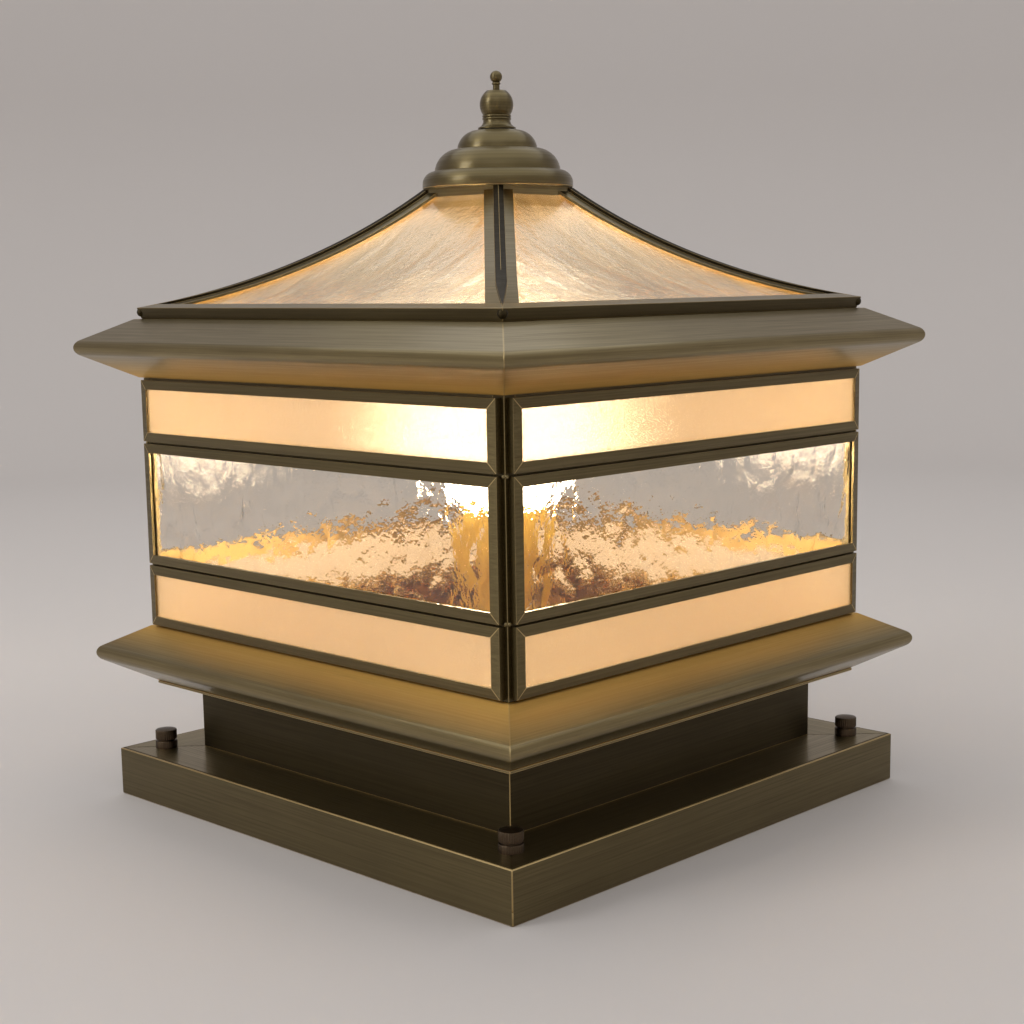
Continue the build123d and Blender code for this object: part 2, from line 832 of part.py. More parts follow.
nodes = {
    "base_tray": make_base_tray(),
    "anchor_collars": make_anchor_collars(),
    "anchor_cap_nuts": make_anchor_cap_nuts(),
    "neck_box": make_neck_box(),
    "lower_plate": make_lower_plate(),
    "lower_eave": make_lower_eave(),
    "corner_posts": make_corner_posts(),
    "tier_rails": make_tier_rails(),
    "upper_eave": make_upper_eave(),
    "crossbar": make_crossbar(),
    "tie_rod": post(0, 0, rod_radius, rod_z, rod_top_z),
    "rod_nuts": make_rod_nuts(),
    "roof_rim": make_roof_rim(),
    "crown": make_crown(),
    "cap": make_cap(),
    "finial_washer": make_finial_washer(),
    "finial": make_finial(),
    "holder_bracket": make_holder_bracket(),
    "lampholder": make_lampholder(),
    "holder_shell": make_holder_shell(),
    "lamp_contact": make_lamp_contact(),
    "lamp_cap": make_lamp_cap(),
    "lamp_housing": make_lamp_housing(),
    "lamp_globe": make_lamp_globe(),
    "terminal_block": make_terminal_block(),
    "supply_leads": make_supply_leads(),
    "cable_grommet": make_cable_grommet(),
    "small_screws": make_small_screws(),
}
tiers = ["lower_opal", "clear", "upper_opal"]
for tier, (low, high) in zip(tiers, tier_levels()):
    frame = make_frame(low, high)
    pane = make_pane(low, high)
    for quarter, side in enumerate(sides):
        nodes[f"{tier}_frame_{side}"] = turned(frame, quarter)
        nodes[f"{tier}_pane_{side}"] = turned(pane, quarter)
roof_pane = make_roof_pane()
roof_hip = make_roof_hip()
for quarter, (side, corner) in enumerate(zip(sides, corners)):
    nodes[f"roof_pane_{side}"] = turned(roof_pane, quarter - 1)
    nodes[f"roof_hip_{corner}"] = turned(roof_hip, quarter - 1)

os.makedirs("parts", exist_ok=True)
for name, shape in nodes.items():
    export_step(shape, f"parts/{name}.step")
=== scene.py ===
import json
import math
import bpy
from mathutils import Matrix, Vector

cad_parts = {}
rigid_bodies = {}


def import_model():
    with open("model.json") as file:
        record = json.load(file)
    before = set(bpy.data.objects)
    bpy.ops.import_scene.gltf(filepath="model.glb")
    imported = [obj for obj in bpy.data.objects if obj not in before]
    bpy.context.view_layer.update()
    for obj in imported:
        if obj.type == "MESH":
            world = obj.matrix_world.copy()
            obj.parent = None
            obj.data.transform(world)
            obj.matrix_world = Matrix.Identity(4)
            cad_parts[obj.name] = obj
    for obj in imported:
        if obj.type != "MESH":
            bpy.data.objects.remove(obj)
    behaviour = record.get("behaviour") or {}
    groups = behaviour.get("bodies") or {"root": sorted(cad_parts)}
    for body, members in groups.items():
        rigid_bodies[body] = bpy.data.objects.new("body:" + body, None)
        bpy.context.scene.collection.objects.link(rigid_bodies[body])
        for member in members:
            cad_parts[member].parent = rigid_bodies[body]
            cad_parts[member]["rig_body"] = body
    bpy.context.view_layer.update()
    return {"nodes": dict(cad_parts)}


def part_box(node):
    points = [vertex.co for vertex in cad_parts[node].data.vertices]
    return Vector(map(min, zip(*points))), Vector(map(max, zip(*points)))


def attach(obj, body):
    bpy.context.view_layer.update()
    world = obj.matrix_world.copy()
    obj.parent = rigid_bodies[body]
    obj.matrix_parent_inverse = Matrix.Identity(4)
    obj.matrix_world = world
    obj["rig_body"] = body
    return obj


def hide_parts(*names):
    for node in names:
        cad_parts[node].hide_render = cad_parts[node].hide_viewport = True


bl_info = {
    "name": "Pillar lantern",
    "version": (1, 0, 0),
    "blender": (4, 5, 0),
    "location": "3D View > Sidebar > Lantern",
    "description": "Dresses a square glazed pillar lantern over its construction model",
    "category": "Object",
}

import bmesh
import bpy
from bpy.props import FloatProperty, FloatVectorProperty, IntProperty, PointerProperty
from mathutils import Matrix, Vector, noise

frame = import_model()

MM = 0.001
WELD = 0.002 * MM
QUARTER_TURN = math.pi / 2
DIAGONAL = math.sqrt(2)
SIDES = ("front", "right", "back", "left")
CORNERS = ("front_right", "back_right", "back_left", "front_left")
TIERS = ("lower_opal", "clear", "upper_opal")
ROOF_BOXES = {node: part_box(node) for node in ("roof_rim", "crown", "roof_pane_right")}

# Angles that tell a fold from a smooth run, and shares of a normal that tell which way a face looks
SMOOTH_LIMIT = math.radians(38)
SHARP_FOLD = math.radians(25)
HIP_FOLD = math.radians(35)
RIM_FOLD = math.radians(5)
OPAL_FOLD = math.radians(3)
SIDE_FACE = 0.5
FRONT_FACE = 0.7
SLANT_SLACK = 0.1

# Folded sheet
HEAVY_SHEET = 1.5 * MM
LIGHT_SHEET = 1.2 * MM
FOLD_WIDTH = 0.45 * MM
SLIT_DEPTH = 1.0 * MM
SLIT_LOW = 5.5 * MM
SLIT_TOP_MARGIN = 2.5 * MM
SLIT_WALL = 0.03 * MM
SEAM_HALF_WIDTH = 0.3 * MM
SEAM_DEPTH = 0.25 * MM
SEAM_WALL = 0.05 * MM
TRAY_EDGE = 0.75 * MM
CABLE_OPENING = 6.0 * MM
PLATE_OPENING = 88.3 * MM

# How far pieces are stained dark or darkened as painted shade, laid open to raw brass or given a painted
# gleam, or rubbed along their edges with a painted highlight, as shares of 1
# Painted shade: the tray's upright sides are darkened.
TRAY_SIDE_SHADE = 0.42
# Painted shade: the neck under the lower eave is darkened.
NECK_SHADE = 0.8
# Painted shade: the posts, set back between the frames, are darkened.
POST_SHADE = 0.5
FRAME_STAIN = 0.35
# Painted shade: the rim's upright and lower faces are darkened.
RIM_SIDE_SHADE = 0.65
HIP_STAIN = 0.25
SOLDER_STAIN = 0.9
CAP_STAIN = 0.4
RAIL_BARE = 0.4
EAVE_HOLLOW_BARE = 0.6
# Painted gleam: the eaves' roots beside the panes take the raw brass colour for the lamp's light.
EAVE_ROOT_GLEAM = 0.9
# The rubbed edges' lighter colour is partly real rubbing and partly a painted highlight.
EAVE_WEAR_AND_HIGHLIGHT = 0.4
POST_WEAR_AND_HIGHLIGHT = 0.3
FRAME_WEAR_AND_HIGHLIGHT = 0.5

# How much rougher the bronze is where it is stained or painted shade, and where it is raw brass or painted
# gleam
STAIN_DULLS = 0.16
BARE_DULLS = 0.26

# Eaves
EAVE_NOSE_HEIGHT = 13.4 * MM
EAVE_NOSE_RADIUS = 3.75 * MM
EAVE_FLANGE = 14.0 * MM
EAVE_ROOT_REACH = 1.0 * MM
DECK_FLANGE = 18.0 * MM
EAVE_TUCK = 1.8 * MM
DECK_INSET = 1.0 * MM
PLATE_LIP = 0.5 * MM

# Body
FRAME_BAR = 4.0 * MM
FRAME_SLOPE = 0.5 * MM
MITRE_LINE = 0.16 * MM
PANE_OVERLAP = 2.0 * MM
PANE_THICKNESS = 2.0 * MM
OPAL_BORDER = 3.6 * MM
OPAL_RISE = 0.45 * MM
POST_FLANGE = 5.5 * MM
RAIL_SETBACK = 0.5 * MM
RAIL_END_GAP = 0.1 * MM
SOLDER_DOT = 0.9 * MM

# Vector noise starts from the clock unless it is seeded, so the panes' texture is the same each run.
GLASS_SEED = 1

# Dimples of the clear panes: how far they are drawn out, their warp's scale and strength, each side's shift
DIMPLE_STRETCH = 0.75
DIMPLE_WARP = (1.3, 0.35)
DIMPLE_SHIFT = 0.7

# Roof
ROOF_SAG = 7.2 * MM
CROWN_CLEARANCE = 0.2 * MM
RIB_HEIGHT = 1.2 * MM
RIB_WIDTH = 4.4 * MM
RIB_TAPER = 26.0 * MM
RIB_TIP = 0.04
RIB_SEAT = 0.9
HIP_SHEET = 1.0 * MM
HIP_WIDTH = 12.4 * MM
HIP_EDGE = 0.22 * MM
ROOF_PANE_DEPTH = 2.3 * MM
ROOF_PANE_THICKNESS = 2.5 * MM
ROOF_PANE_GAP = 1.5 * MM
ROOF_ROW_STEP = 1.4
RIM_FLARE = 1.5 * MM
RIM_FLANGE = 8.0 * MM
RIM_BAR = 7.0 * MM
RIM_BAR_DEPTH = 0.15 * MM
SOLDER_BLOB = 2.0 * MM
BLOB_SETBACK = 1.5 * MM

# Roof panes' waves: their stretch, their warp's and smaller folds' scale and strength, each side's shift
WAVE_STRETCH = 0.35
WAVE_WARP = (0.7, 0.8)
WAVE_FOLDS = (2.1, 0.35)
WAVE_SHIFT = 1.3

# Roof panes' painted edge glow: its bright line at the hips, and its amber's strength and reach beside them
# and under the cap. It adds to the panes' painted glow, which is a share of its mean in the dark streaks and
# the pale ones.
GLOW_LINE = 0.8 * MM
GLOW_EDGE = (0.35, 9.0 * MM)
GLOW_TOP = (0.45, 7.0 * MM)
EDGE_GLOW_GAIN = 0.15
STREAK_GLOW = (0.4, 1.6)

# Cap, as radius and height of each step
CAP_RIM = (32.8 * MM, 2.0 * MM)
CAP_MIDDLE = (27.4 * MM, 7.3 * MM)
CAP_TOP = (17.4 * MM, 16.7 * MM)
CAP_SEAT = (9.8 * MM, 24.5 * MM)
CAP_RIM_BULGE = 0.2
CAP_MIDDLE_BULGE = 2.6 * MM
CAP_TOP_BULGE = 1.9 * MM
CAP_SHEET = 1.0 * MM
ROD_HOLE = 3.3 * MM

# Finial
FINIAL_FOOT = (8.2 * MM, 0.6 * MM)
FINIAL_WAIST = (5.9 * MM, 3.7 * MM)
FINIAL_COVE = 0.66 * MM
FINIAL_BEAD = 1.1 * MM
FINIAL_BEAD_BULGE = 0.4 * MM
FINIAL_BALL = 7.3 * MM
FINIAL_BALL_TOP = 4.1 * MM
FINIAL_STEM = (1.45 * MM, 2.3 * MM)
FINIAL_STEM_BEAD = 1.2 * MM
FINIAL_STEM_BULGE = 0.45 * MM
FINIAL_TIP = 2.65 * MM
FINIAL_BORE = (2.55 * MM, 12.0 * MM)

# Anchors
ANCHOR_EDGE = 15.0 * MM
NUT_WAIST = (4.0 * MM, 0.5 * MM)
NUT_DOME = 0.9 * MM
NUT_DOME_BULGE = 0.1 * MM
STUD = 2.5 * MM
STUD_PLAY = 0.15 * MM
STUD_DEPTH = 3.6 * MM

# Lamp and what holds it
GLOBE_WALL = 1.2 * MM
GLOBE_RADIUS = 30.0 * MM
HOUSING_FOOT = 16.0 * MM
HOUSING_BULGE = 1.2 * MM
HOLDER_BORE = 14.1 * MM
HOLDER_FLOOR = 50.0 * MM
HOLDER_BAND = 9.0 * MM
HOLDER_RELIEF = 0.8 * MM
HOLDER_EDGE = 0.7 * MM
LAMP_THREAD_PITCH = 3.6 * MM
LAMP_THREAD_DEPTH = 0.9 * MM
LAMP_THREAD_ENDS = (1.0 * MM, 2.0 * MM)
BRACKET_FOOT = 13.0 * MM
TERMINAL_TAB = (8.0 * MM, 3.0 * MM)
TERMINAL_PITCH = 10.0 * MM
TOWER = (3.6 * MM, 4.0 * MM)
TOWER_WELL = (2.4 * MM, 3.0 * MM)
TOWER_SETBACK = 4.5 * MM
GROMMET_LIP = 2.0 * MM
GROMMET_WALL = 2.0 * MM
GROMMET_EDGE = 0.6 * MM
SCREW = (1.5 * MM, 6.0 * MM)
SCREW_HEAD = (2.8 * MM, 1.8 * MM)
SCREW_EDGE = 0.8 * MM
SCREW_DOME_BULGE = 0.25 * MM
SCREW_SLOT = (0.8 * MM, 0.6 * MM)

# Crossbar and tie rod. The real thread, 0.8 mm, is too fine for the picture and is cut twice as coarse.
ROD_THREAD_PITCH = 1.6 * MM
ROD_THREAD_DEPTH = 0.35 * MM
ROD_NUT_HEIGHT = 4.0 * MM
ROD_NUT_CHAMFER = 0.5 * MM
BAR_END = 5.0 * MM
BAR_SCREW_INSET = 6.0 * MM

# Points along curves, and facets round the pieces that have fewer than other turned ones
ARC_POINTS = 10
BEAD_POINTS = 6
DOME_POINTS = 8
TIP_POINTS = 16
GLOBE_POINTS = 20
BALL_POINTS = 24
HIP_STATIONS = 36
LAMP_THREAD_RINGS = 84
ROD_RINGS_A_TURN = 6
SMALL_STEPS = 32
HEXAGON_STEPS = 36
SCREW_STEPS = 48
GROMMET_STEPS = 64

# Stage and camera, in metres and watts: each light's name, place, target, width, height and power
SWEEP_REACH = 1.9
SWEEP_FILLET = 0.5
SWEEP_HEIGHT = 1.5
LIGHTS = (
    ("Overhead softbox", (0.0, 0.0, 1.6), (0.0, 0.0, 0.0), 3.4, 3.4, 34.0),
    ("Window softbox", (-0.5, -1.35, 0.95), (0.0, 0.0, 0.2), 0.5, 0.7, 6.0),
)
CAMERA_AZIMUTH = math.radians(44.38)
CAMERA_ELEVATION = math.radians(8.97)
CAMERA_ROLL = math.radians(-0.89)
CAMERA_TARGET = Vector((2.64 * MM, 2.59 * MM, 108.8 * MM))
CAMERA_DISTANCE = 778.1 * MM
CAMERA_SENSOR = 36.0
CAMERA_LENS = 60.71
CAMERA_SHIFT = 0.039


def linear(hex_colour):
    """Linear colour of an sRGB hex value."""
    channels = [int(hex_colour[start : start + 2], 16) / 255 for start in (1, 3, 5)]
    light = [c / 12.92 if c <= 0.04045 else ((c + 0.055) / 1.055) ** 2.4 for c in channels]
    return (*light, 1.0)


def length(label, words, default):
    """A length that a user may change."""
    return FloatProperty(name=label, description=words, default=default, min=0.0, unit="LENGTH", precision=5)


def number(label, words, default, least):
    """A number of features that a user may change."""
    return IntProperty(name=label, description=words, default=default, min=least)


def brightness(label, words, default):
    """A brightness that a user may change."""
    return FloatProperty(name=label, description=words, default=default)


def colour(label, words, hex_colour):
    """A colour that a user may change."""
    default = linear(hex_colour)
    return FloatVectorProperty(name=label, description=words, default=default, size=4, subtype="COLOR")


class LanternSizes(bpy.types.PropertyGroup):
    """Detail of the pieces that the construction model leaves plain."""

    edge: length("Sheet edge", "Rounding of the cut and folded sheet edges", 0.3 * MM)
    frame_edge: length("Frame edge", "Rounding of the frames' outer edges", 0.5 * MM)
    hammer_pitch: length("Hammer pitch", "Spacing of the dimples in the clear panes", 8.5 * MM)
    hammer_depth: length("Hammer depth", "Depth of the dimples in the clear panes", 0.6 * MM)
    wave_pitch: length("Wave pitch", "Spacing of the waves in the roof panes", 9.0 * MM)
    wave_depth: length("Wave depth", "Depth of the waves in the roof panes", 0.5 * MM)
    glass_step: length("Glass step", "Grid spacing of the textured panes", 1.0 * MM)
    knurl_depth: length("Knurl depth", "Depth of the grooves round the anchors", 0.18 * MM)
    knurl_count: number("Knurl grooves", "Grooves round each anchor", 36, 8)
    turned_steps: number("Turned steps", "Facets round turned pieces", 128, 24)


class LanternColours(bpy.types.PropertyGroup):
    """Colours of the finishes."""

    bronze: colour("Bronze", "Antique bronze of the sheet", "#97885F")
    bronze_shade: colour("Bronze shade", "Darker streaks in the brushed bronze", "#756746")
    # The rubbed edges' colour is partly real rubbing and partly a painted highlight.
    bronze_wear_and_highlight: colour("Bronze edge", "Edges where the bronze is rubbed bright", "#BFA673")
    # The staining colour is also painted shade on the tray's sides, the neck, the posts and the rim's sides,
    # and a painted dark reflection on the hips' ribs.
    bronze_stain_and_shade: colour("Bronze stain", "Places where the bronze is stained dark", "#2E271A")
    # The raw brass colour is also a painted gleam of the lamp's light at the eaves' roots.
    brass: colour("Bare brass", "Sheet left with little or none of its stain", "#E2B560")
    anchor: colour("Anchors", "Near-black bronze of the anchors", "#5C5044")
    opal: colour("Opal glass", "Peach tint of the opal panes", "#DCCFBA")
    # The opal glow is painted light: it stands in for the lamp's light spread through the milky glass.
    opal_glow: colour("Opal glow", "Light that the opal panes spread", "#F4C385")
    clear: colour("Clear glass", "Tint of the hammered panes", "#FDF9F2")
    roof: colour("Roof glass", "Amber tint of the roof panes", "#FAF0DA")
    # The roof glow is painted light: it stands in for the lamp's light in the amber glass.
    roof_glow: colour("Roof glow", "Light that the roof panes spread", "#DDB884")
    lamp: colour("Lamp light", "Light of the lamp's globe", "#FFEBCB")
    floor: colour("Floor", "Pale floor and backdrop", "#C6C1BE")
    lamp_strength: brightness("Lamp strength", "Brightness of the globe", 70.0)
    opal_strength: brightness("Opal strength", "Brightness of the opal glow", 0.25)
    roof_strength: brightness("Roof strength", "Brightness of the roof glow", 0.06)


def sizes():
    """The lantern's sizes in this scene."""
    return bpy.context.scene.lantern_sizes


def colours():
    """The lantern's colours in this scene."""
    return bpy.context.scene.lantern_colours


def add_node(tree, kind, inputs, output=0, **settings):
    """Adds a node with its settings and with its inputs set or linked, and gives the output asked for."""
    made = tree.nodes.new("ShaderNode" + kind)
    for name, value in settings.items():
        setattr(made, name, value)
    for socket, value in inputs.items():
        if isinstance(value, bpy.types.NodeSocket):
            tree.links.new(value, made.inputs[socket])
        else:
            made.inputs[socket].default_value = value
    return made.outputs[output] if len(made.outputs) else None


def brushed_lines(tree, grain, line_width, line_length):
    """Noise drawn out into lines along the square's sides or round a turned piece, and the way across."""
    place = add_node(tree, "TexCoord", {}, "Object")
    x, y, z = add_node(tree, "SeparateXYZ", {0: place}).node.outputs
    if grain == "along":
        width = add_node(tree, "Math", {0: x}, operation="ABSOLUTE")
        depth = add_node(tree, "Math", {0: y}, operation="ABSOLUTE")
        beside = add_node(tree, "Math", {0: width, 1: depth}, operation="GREATER_THAN")
        run = add_node(tree, "Mix", {0: beside, 2: x, 3: y})
        across = add_node(tree, "Mix", {0: beside, 2: y, 3: x})
        ahead = add_node(tree, "Math", {0: 1.0, 1: beside}, operation="SUBTRACT")
        way = add_node(tree, "CombineXYZ", {"X": ahead, "Y": beside})
        stretch = line_width / line_length
    else:
        flat = add_node(tree, "CombineXYZ", {"X": x, "Y": y})
        across = add_node(tree, "VectorMath", {0: flat}, "Value", operation="LENGTH")
        run = add_node(tree, "Math", {0: x, 1: y}, operation="ARCTAN2")
        way = add_node(tree, "VectorMath", {0: (0, 0, 1), 1: place}, operation="CROSS_PRODUCT")
        stretch = 0.0
    joined = add_node(tree, "CombineXYZ", {"X": run, "Y": across, "Z": z})
    drawn = add_node(tree, "Mapping", {"Vector": joined, "Scale": (stretch, 1.0, 1.0)})
    fineness = {"Scale": 1 / line_width, "Detail": 3.0, "Roughness": 0.65}
    lines = add_node(tree, "TexNoise", {"Vector": drawn, **fineness})
    facing = add_node(tree, "NewGeometry", {}, "Normal")
    streak = add_node(tree, "VectorMath", {0: facing, 1: way}, operation="CROSS_PRODUCT")
    return place, lines, streak


# Antique-bronze brass: sheet brushed with a fine pad, stained dark and lacquered. The eye gets a satin olive
# brown with fine lines along the sheet, gleams drawn out across the lines, and rubbed edges that show the
# brass, whose lighter colour is also a painted highlight. The floor inside the body, the neck's inside and
# the eaves' hollows are more or less raw brass, which is duller and unlacquered; the eaves' roots take the
# same duller, unlacquered raw brass as a painted gleam of the lamp's light. The dark staining is also painted
# shade on the tray's sides, the neck, the posts and the rim's sides, and a painted dark reflection on the
# hips' ribs.
def antique_bronze(tree, grain, roughness):
    look = colours()
    # Real brush lines are about 0.2 mm apart, too fine for the picture, so they are drawn 0.8 mm apart.
    place, lines, streak = brushed_lines(tree, grain, 0.8 * MM, 60 * MM)
    blotches = add_node(tree, "TexNoise", {"Vector": place, "Scale": 1 / (45 * MM), "Detail": 4.0})
    spread = add_node(tree, "MapRange", {"Value": lines, "From Min": 0.25, "From Max": 0.75})
    patchy = {"From Min": 0.3, "From Max": 0.75, "To Max": 0.55}
    tarnish = add_node(tree, "MapRange", {"Value": blotches, **patchy})
    tone = add_node(tree, "Mix", {0: spread, 6: look.bronze_shade, 7: look.bronze}, 2, data_type="RGBA")
    tone = add_node(tree, "Mix", {0: tarnish, 6: tone, 7: look.bronze_shade}, 2, data_type="RGBA")
    marks = {}
    for mark, shade in (("stain_and_shade", look.bronze_stain_and_shade), ("bare", look.brass), ("wear_and_highlight", look.bronze_wear_and_highlight)):
        marks[mark] = add_node(tree, "Attribute", {}, "Fac", attribute_name=mark)
        tone = add_node(tree, "Mix", {0: marks[mark], 6: tone, 7: shade}, 2, data_type="RGBA")
    uneven = {"From Min": 0.3, "From Max": 0.7, "To Min": roughness + 0.06, "To Max": roughness - 0.06}
    rough = add_node(tree, "MapRange", {"Value": lines, **uneven})
    for mark, dulls in (("stain_and_shade", STAIN_DULLS), ("bare", BARE_DULLS)):
        rough = add_node(tree, "Math", {0: marks[mark], 1: dulls, 2: rough}, operation="MULTIPLY_ADD")
    unlacquered = add_node(tree, "Math", {0: marks["stain_and_shade"], 1: marks["bare"]}, operation="ADD")
    lacquer = add_node(tree, "MapRange", {"Value": unlacquered, "To Min": 0.3, "To Max": 0.0})
    relief = add_node(tree, "Bump", {"Height": lines, "Strength": 0.25, "Distance": 0.02 * MM})
    metal = {"Base Color": tone, "Metallic": 1.0, "Roughness": rough, "Anisotropic": 0.75, "Tangent": streak}
    coat = {"Normal": relief, "Coat Weight": lacquer, "Coat Roughness": 0.12}
    return add_node(tree, "BsdfPrincipled", {**metal, **coat})


# Oxidised bronze, turned and knurled: almost black, with a soft gleam on its ridges.
def oxidised_bronze(tree):
    place, lines, streak = brushed_lines(tree, "round", 0.6 * MM, 20 * MM)
    tone = add_node(tree, "Mix", {0: lines, 6: colours().anchor, 7: linear("#4A3B28")}, 2, data_type="RGBA")
    grain = add_node(tree, "TexNoise", {"Vector": place, "Scale": 1 / (2 * MM), "Detail": 3.0})
    rough = add_node(tree, "MapRange", {"Value": grain, "To Min": 0.28, "To Max": 0.48})
    metal = {"Base Color": tone, "Metallic": 1.0, "Roughness": rough, "Anisotropic": 0.5, "Tangent": streak}
    return add_node(tree, "BsdfPrincipled", metal)


# Opal glass, rolled with a milky body: it blurs the lamp behind it to a broad white patch, and a painted
# peach glow stands in for the lamp's light that its milky body spreads.
def opal_glass(tree):
    look = colours()
    place = add_node(tree, "TexCoord", {}, "Object")
    cloud = add_node(tree, "TexNoise", {"Vector": place, "Scale": 1 / (30 * MM), "Detail": 3.0})
    rough = add_node(tree, "MapRange", {"Value": cloud, "To Min": 0.16, "To Max": 0.24})
    # Real frosting is finer than 0.1 mm, too fine for the picture, so its grains are drawn 0.3 mm apart.
    grains = add_node(tree, "TexNoise", {"Vector": place, "Scale": 1 / (0.3 * MM), "Detail": 0.0})
    frosting = add_node(tree, "Bump", {"Height": grains, "Strength": 1.0, "Distance": 0.2 * MM})
    glass = {"Base Color": look.opal, "Roughness": rough, "IOR": 1.45, "Transmission Weight": 0.85}
    # Painted glow: emission that stands in for the lamp's light spread through the glass.
    glow = {"Emission Color": look.opal_glow, "Emission Strength": look.opal_strength}
    face = {"Normal": frosting, "Coat Weight": 0.5, "Coat Roughness": 0.05}
    return add_node(tree, "BsdfPrincipled", {**glass, **glow, **face})


def lit_through(tree, glass):
    """Glass that lets the light of lamps through as well as the view."""
    way = add_node(tree, "LightPath", {}, "Is Shadow Ray")
    open_air = add_node(tree, "BsdfTransparent", {})
    return add_node(tree, "MixShader", {0: way, 1: glass, 2: open_air})


# Clear hammered glass, rolled on a beaten plate: smooth lobes a few millimetres wide that bend what is behind
# them, with a fine pebble on top.
def hammered_glass(tree):
    place = add_node(tree, "TexCoord", {}, "Object")
    pebble = add_node(tree, "TexNoise", {"Vector": place, "Scale": 1 / (1.6 * MM), "Detail": 1.0})
    relief = add_node(tree, "Bump", {"Height": pebble, "Strength": 1.0, "Distance": 0.085 * MM})
    glass = {"Base Color": colours().clear, "Roughness": 0.0, "IOR": 1.5, "Transmission Weight": 1.0}
    return lit_through(tree, add_node(tree, "BsdfPrincipled", {**glass, "Normal": relief}))


# Amber roof glass, rolled with long soft waves, a faint haze and a fine pebble: clear enough to see the far
# side through. A painted glow stands in for the lamp's light in the glass: amber and stronger beside the hips
# and under the cap, with a bright painted line along the hips, and in pale streaks that follow the waves.
def amber_glass(tree):
    look = colours()
    place = add_node(tree, "TexCoord", {}, "Object")
    haze = add_node(tree, "TexNoise", {"Vector": place, "Scale": 1 / (12 * MM), "Detail": 3.0})
    rough = add_node(tree, "MapRange", {"Value": haze, "To Min": 0.1, "To Max": 0.24})
    edge_glow = add_node(tree, "Attribute", {}, "Fac", attribute_name="edge_glow")
    streaks = add_node(tree, "Attribute", {}, "Fac", attribute_name="streaks")
    tint = add_node(tree, "Mix", {0: edge_glow, 6: look.roof_glow, 7: linear("#E09A3C")}, 2, data_type="RGBA")
    dark, pale = [look.roof_strength * share for share in STREAK_GLOW]
    spread = {"From Min": 0.25, "From Max": 0.75, "To Min": dark, "To Max": pale}
    streaked = add_node(tree, "MapRange", {"Value": streaks, **spread})
    strength = add_node(tree, "Math", {0: edge_glow, 1: EDGE_GLOW_GAIN, 2: streaked}, operation="MULTIPLY_ADD")
    pebble = add_node(tree, "TexNoise", {"Vector": place, "Scale": 1 / (2.2 * MM), "Detail": 1.0})
    relief = add_node(tree, "Bump", {"Height": pebble, "Strength": 1.0, "Distance": 0.12 * MM})
    glass = {"Base Color": look.roof, "Roughness": rough, "IOR": 1.5, "Transmission Weight": 1.0}
    # Painted glow: emission that stands in for the lamp's light in the glass, stronger at the edges.
    glow = {"Emission Color": tint, "Emission Strength": strength}
    return lit_through(tree, add_node(tree, "BsdfPrincipled", {**glass, **glow, "Normal": relief}))


# Lamp diffuser, moulded opal polycarbonate that is lit from inside: even and too bright to look at.
def lit_diffuser(tree):
    place = add_node(tree, "TexCoord", {}, "Object")
    cloud = add_node(tree, "TexNoise", {"Vector": place, "Scale": 1 / (20 * MM), "Detail": 2.0})
    tone = add_node(tree, "Mix", {0: cloud, 6: linear("#FFF4E2"), 7: linear("#F6E6CC")}, 2, data_type="RGBA")
    glow = {"Emission Color": colours().lamp, "Emission Strength": colours().lamp_strength}
    return add_node(tree, "BsdfPrincipled", {"Base Color": tone, "Roughness": 0.35, **glow})


def turned_metal(tree, light, dark, roughness, metallic=1.0):
    """A plain metal with fine marks round it and a slightly uneven gleam."""
    place, lines, streak = brushed_lines(tree, "round", 0.5 * MM, 20 * MM)
    tone = add_node(tree, "Mix", {0: lines, 6: linear(dark), 7: linear(light)}, 2, data_type="RGBA")
    patches = add_node(tree, "TexNoise", {"Vector": place, "Scale": 1 / (6 * MM), "Detail": 3.0})
    uneven = {"To Min": roughness - 0.08, "To Max": roughness + 0.08}
    rough = add_node(tree, "MapRange", {"Value": patches, **uneven})
    metal = {"Base Color": tone, "Metallic": metallic, "Roughness": rough}
    return add_node(tree, "BsdfPrincipled", {**metal, "Anisotropic": 0.5, "Tangent": streak})


def moulded(tree, light, dark, roughness, ior, grain):
    """A glazed, moulded or extruded surface: a mottled colour and a fine pitted relief."""
    place = add_node(tree, "TexCoord", {}, "Object")
    mottle = add_node(tree, "TexNoise", {"Vector": place, "Scale": 1 / (9 * MM), "Detail": 4.0})
    tone = add_node(tree, "Mix", {0: mottle, 6: linear(dark), 7: linear(light)}, 2, data_type="RGBA")
    pits = add_node(tree, "TexNoise", {"Vector": place, "Scale": 1 / grain, "Detail": 2.0})
    relief = add_node(tree, "Bump", {"Height": pits, "Strength": 0.3, "Distance": 0.05 * MM})
    uneven = {"To Min": roughness - 0.05, "To Max": roughness + 0.05}
    rough = add_node(tree, "MapRange", {"Value": mottle, **uneven})
    body = {"Base Color": tone, "Roughness": rough, "IOR": ior, "Normal": relief}
    return add_node(tree, "BsdfPrincipled", body)


def studio_paint(tree):
    """Flat pale paint of the stage."""
    return add_node(tree, "BsdfPrincipled", {"Base Color": colours().floor, "Roughness": 0.7})


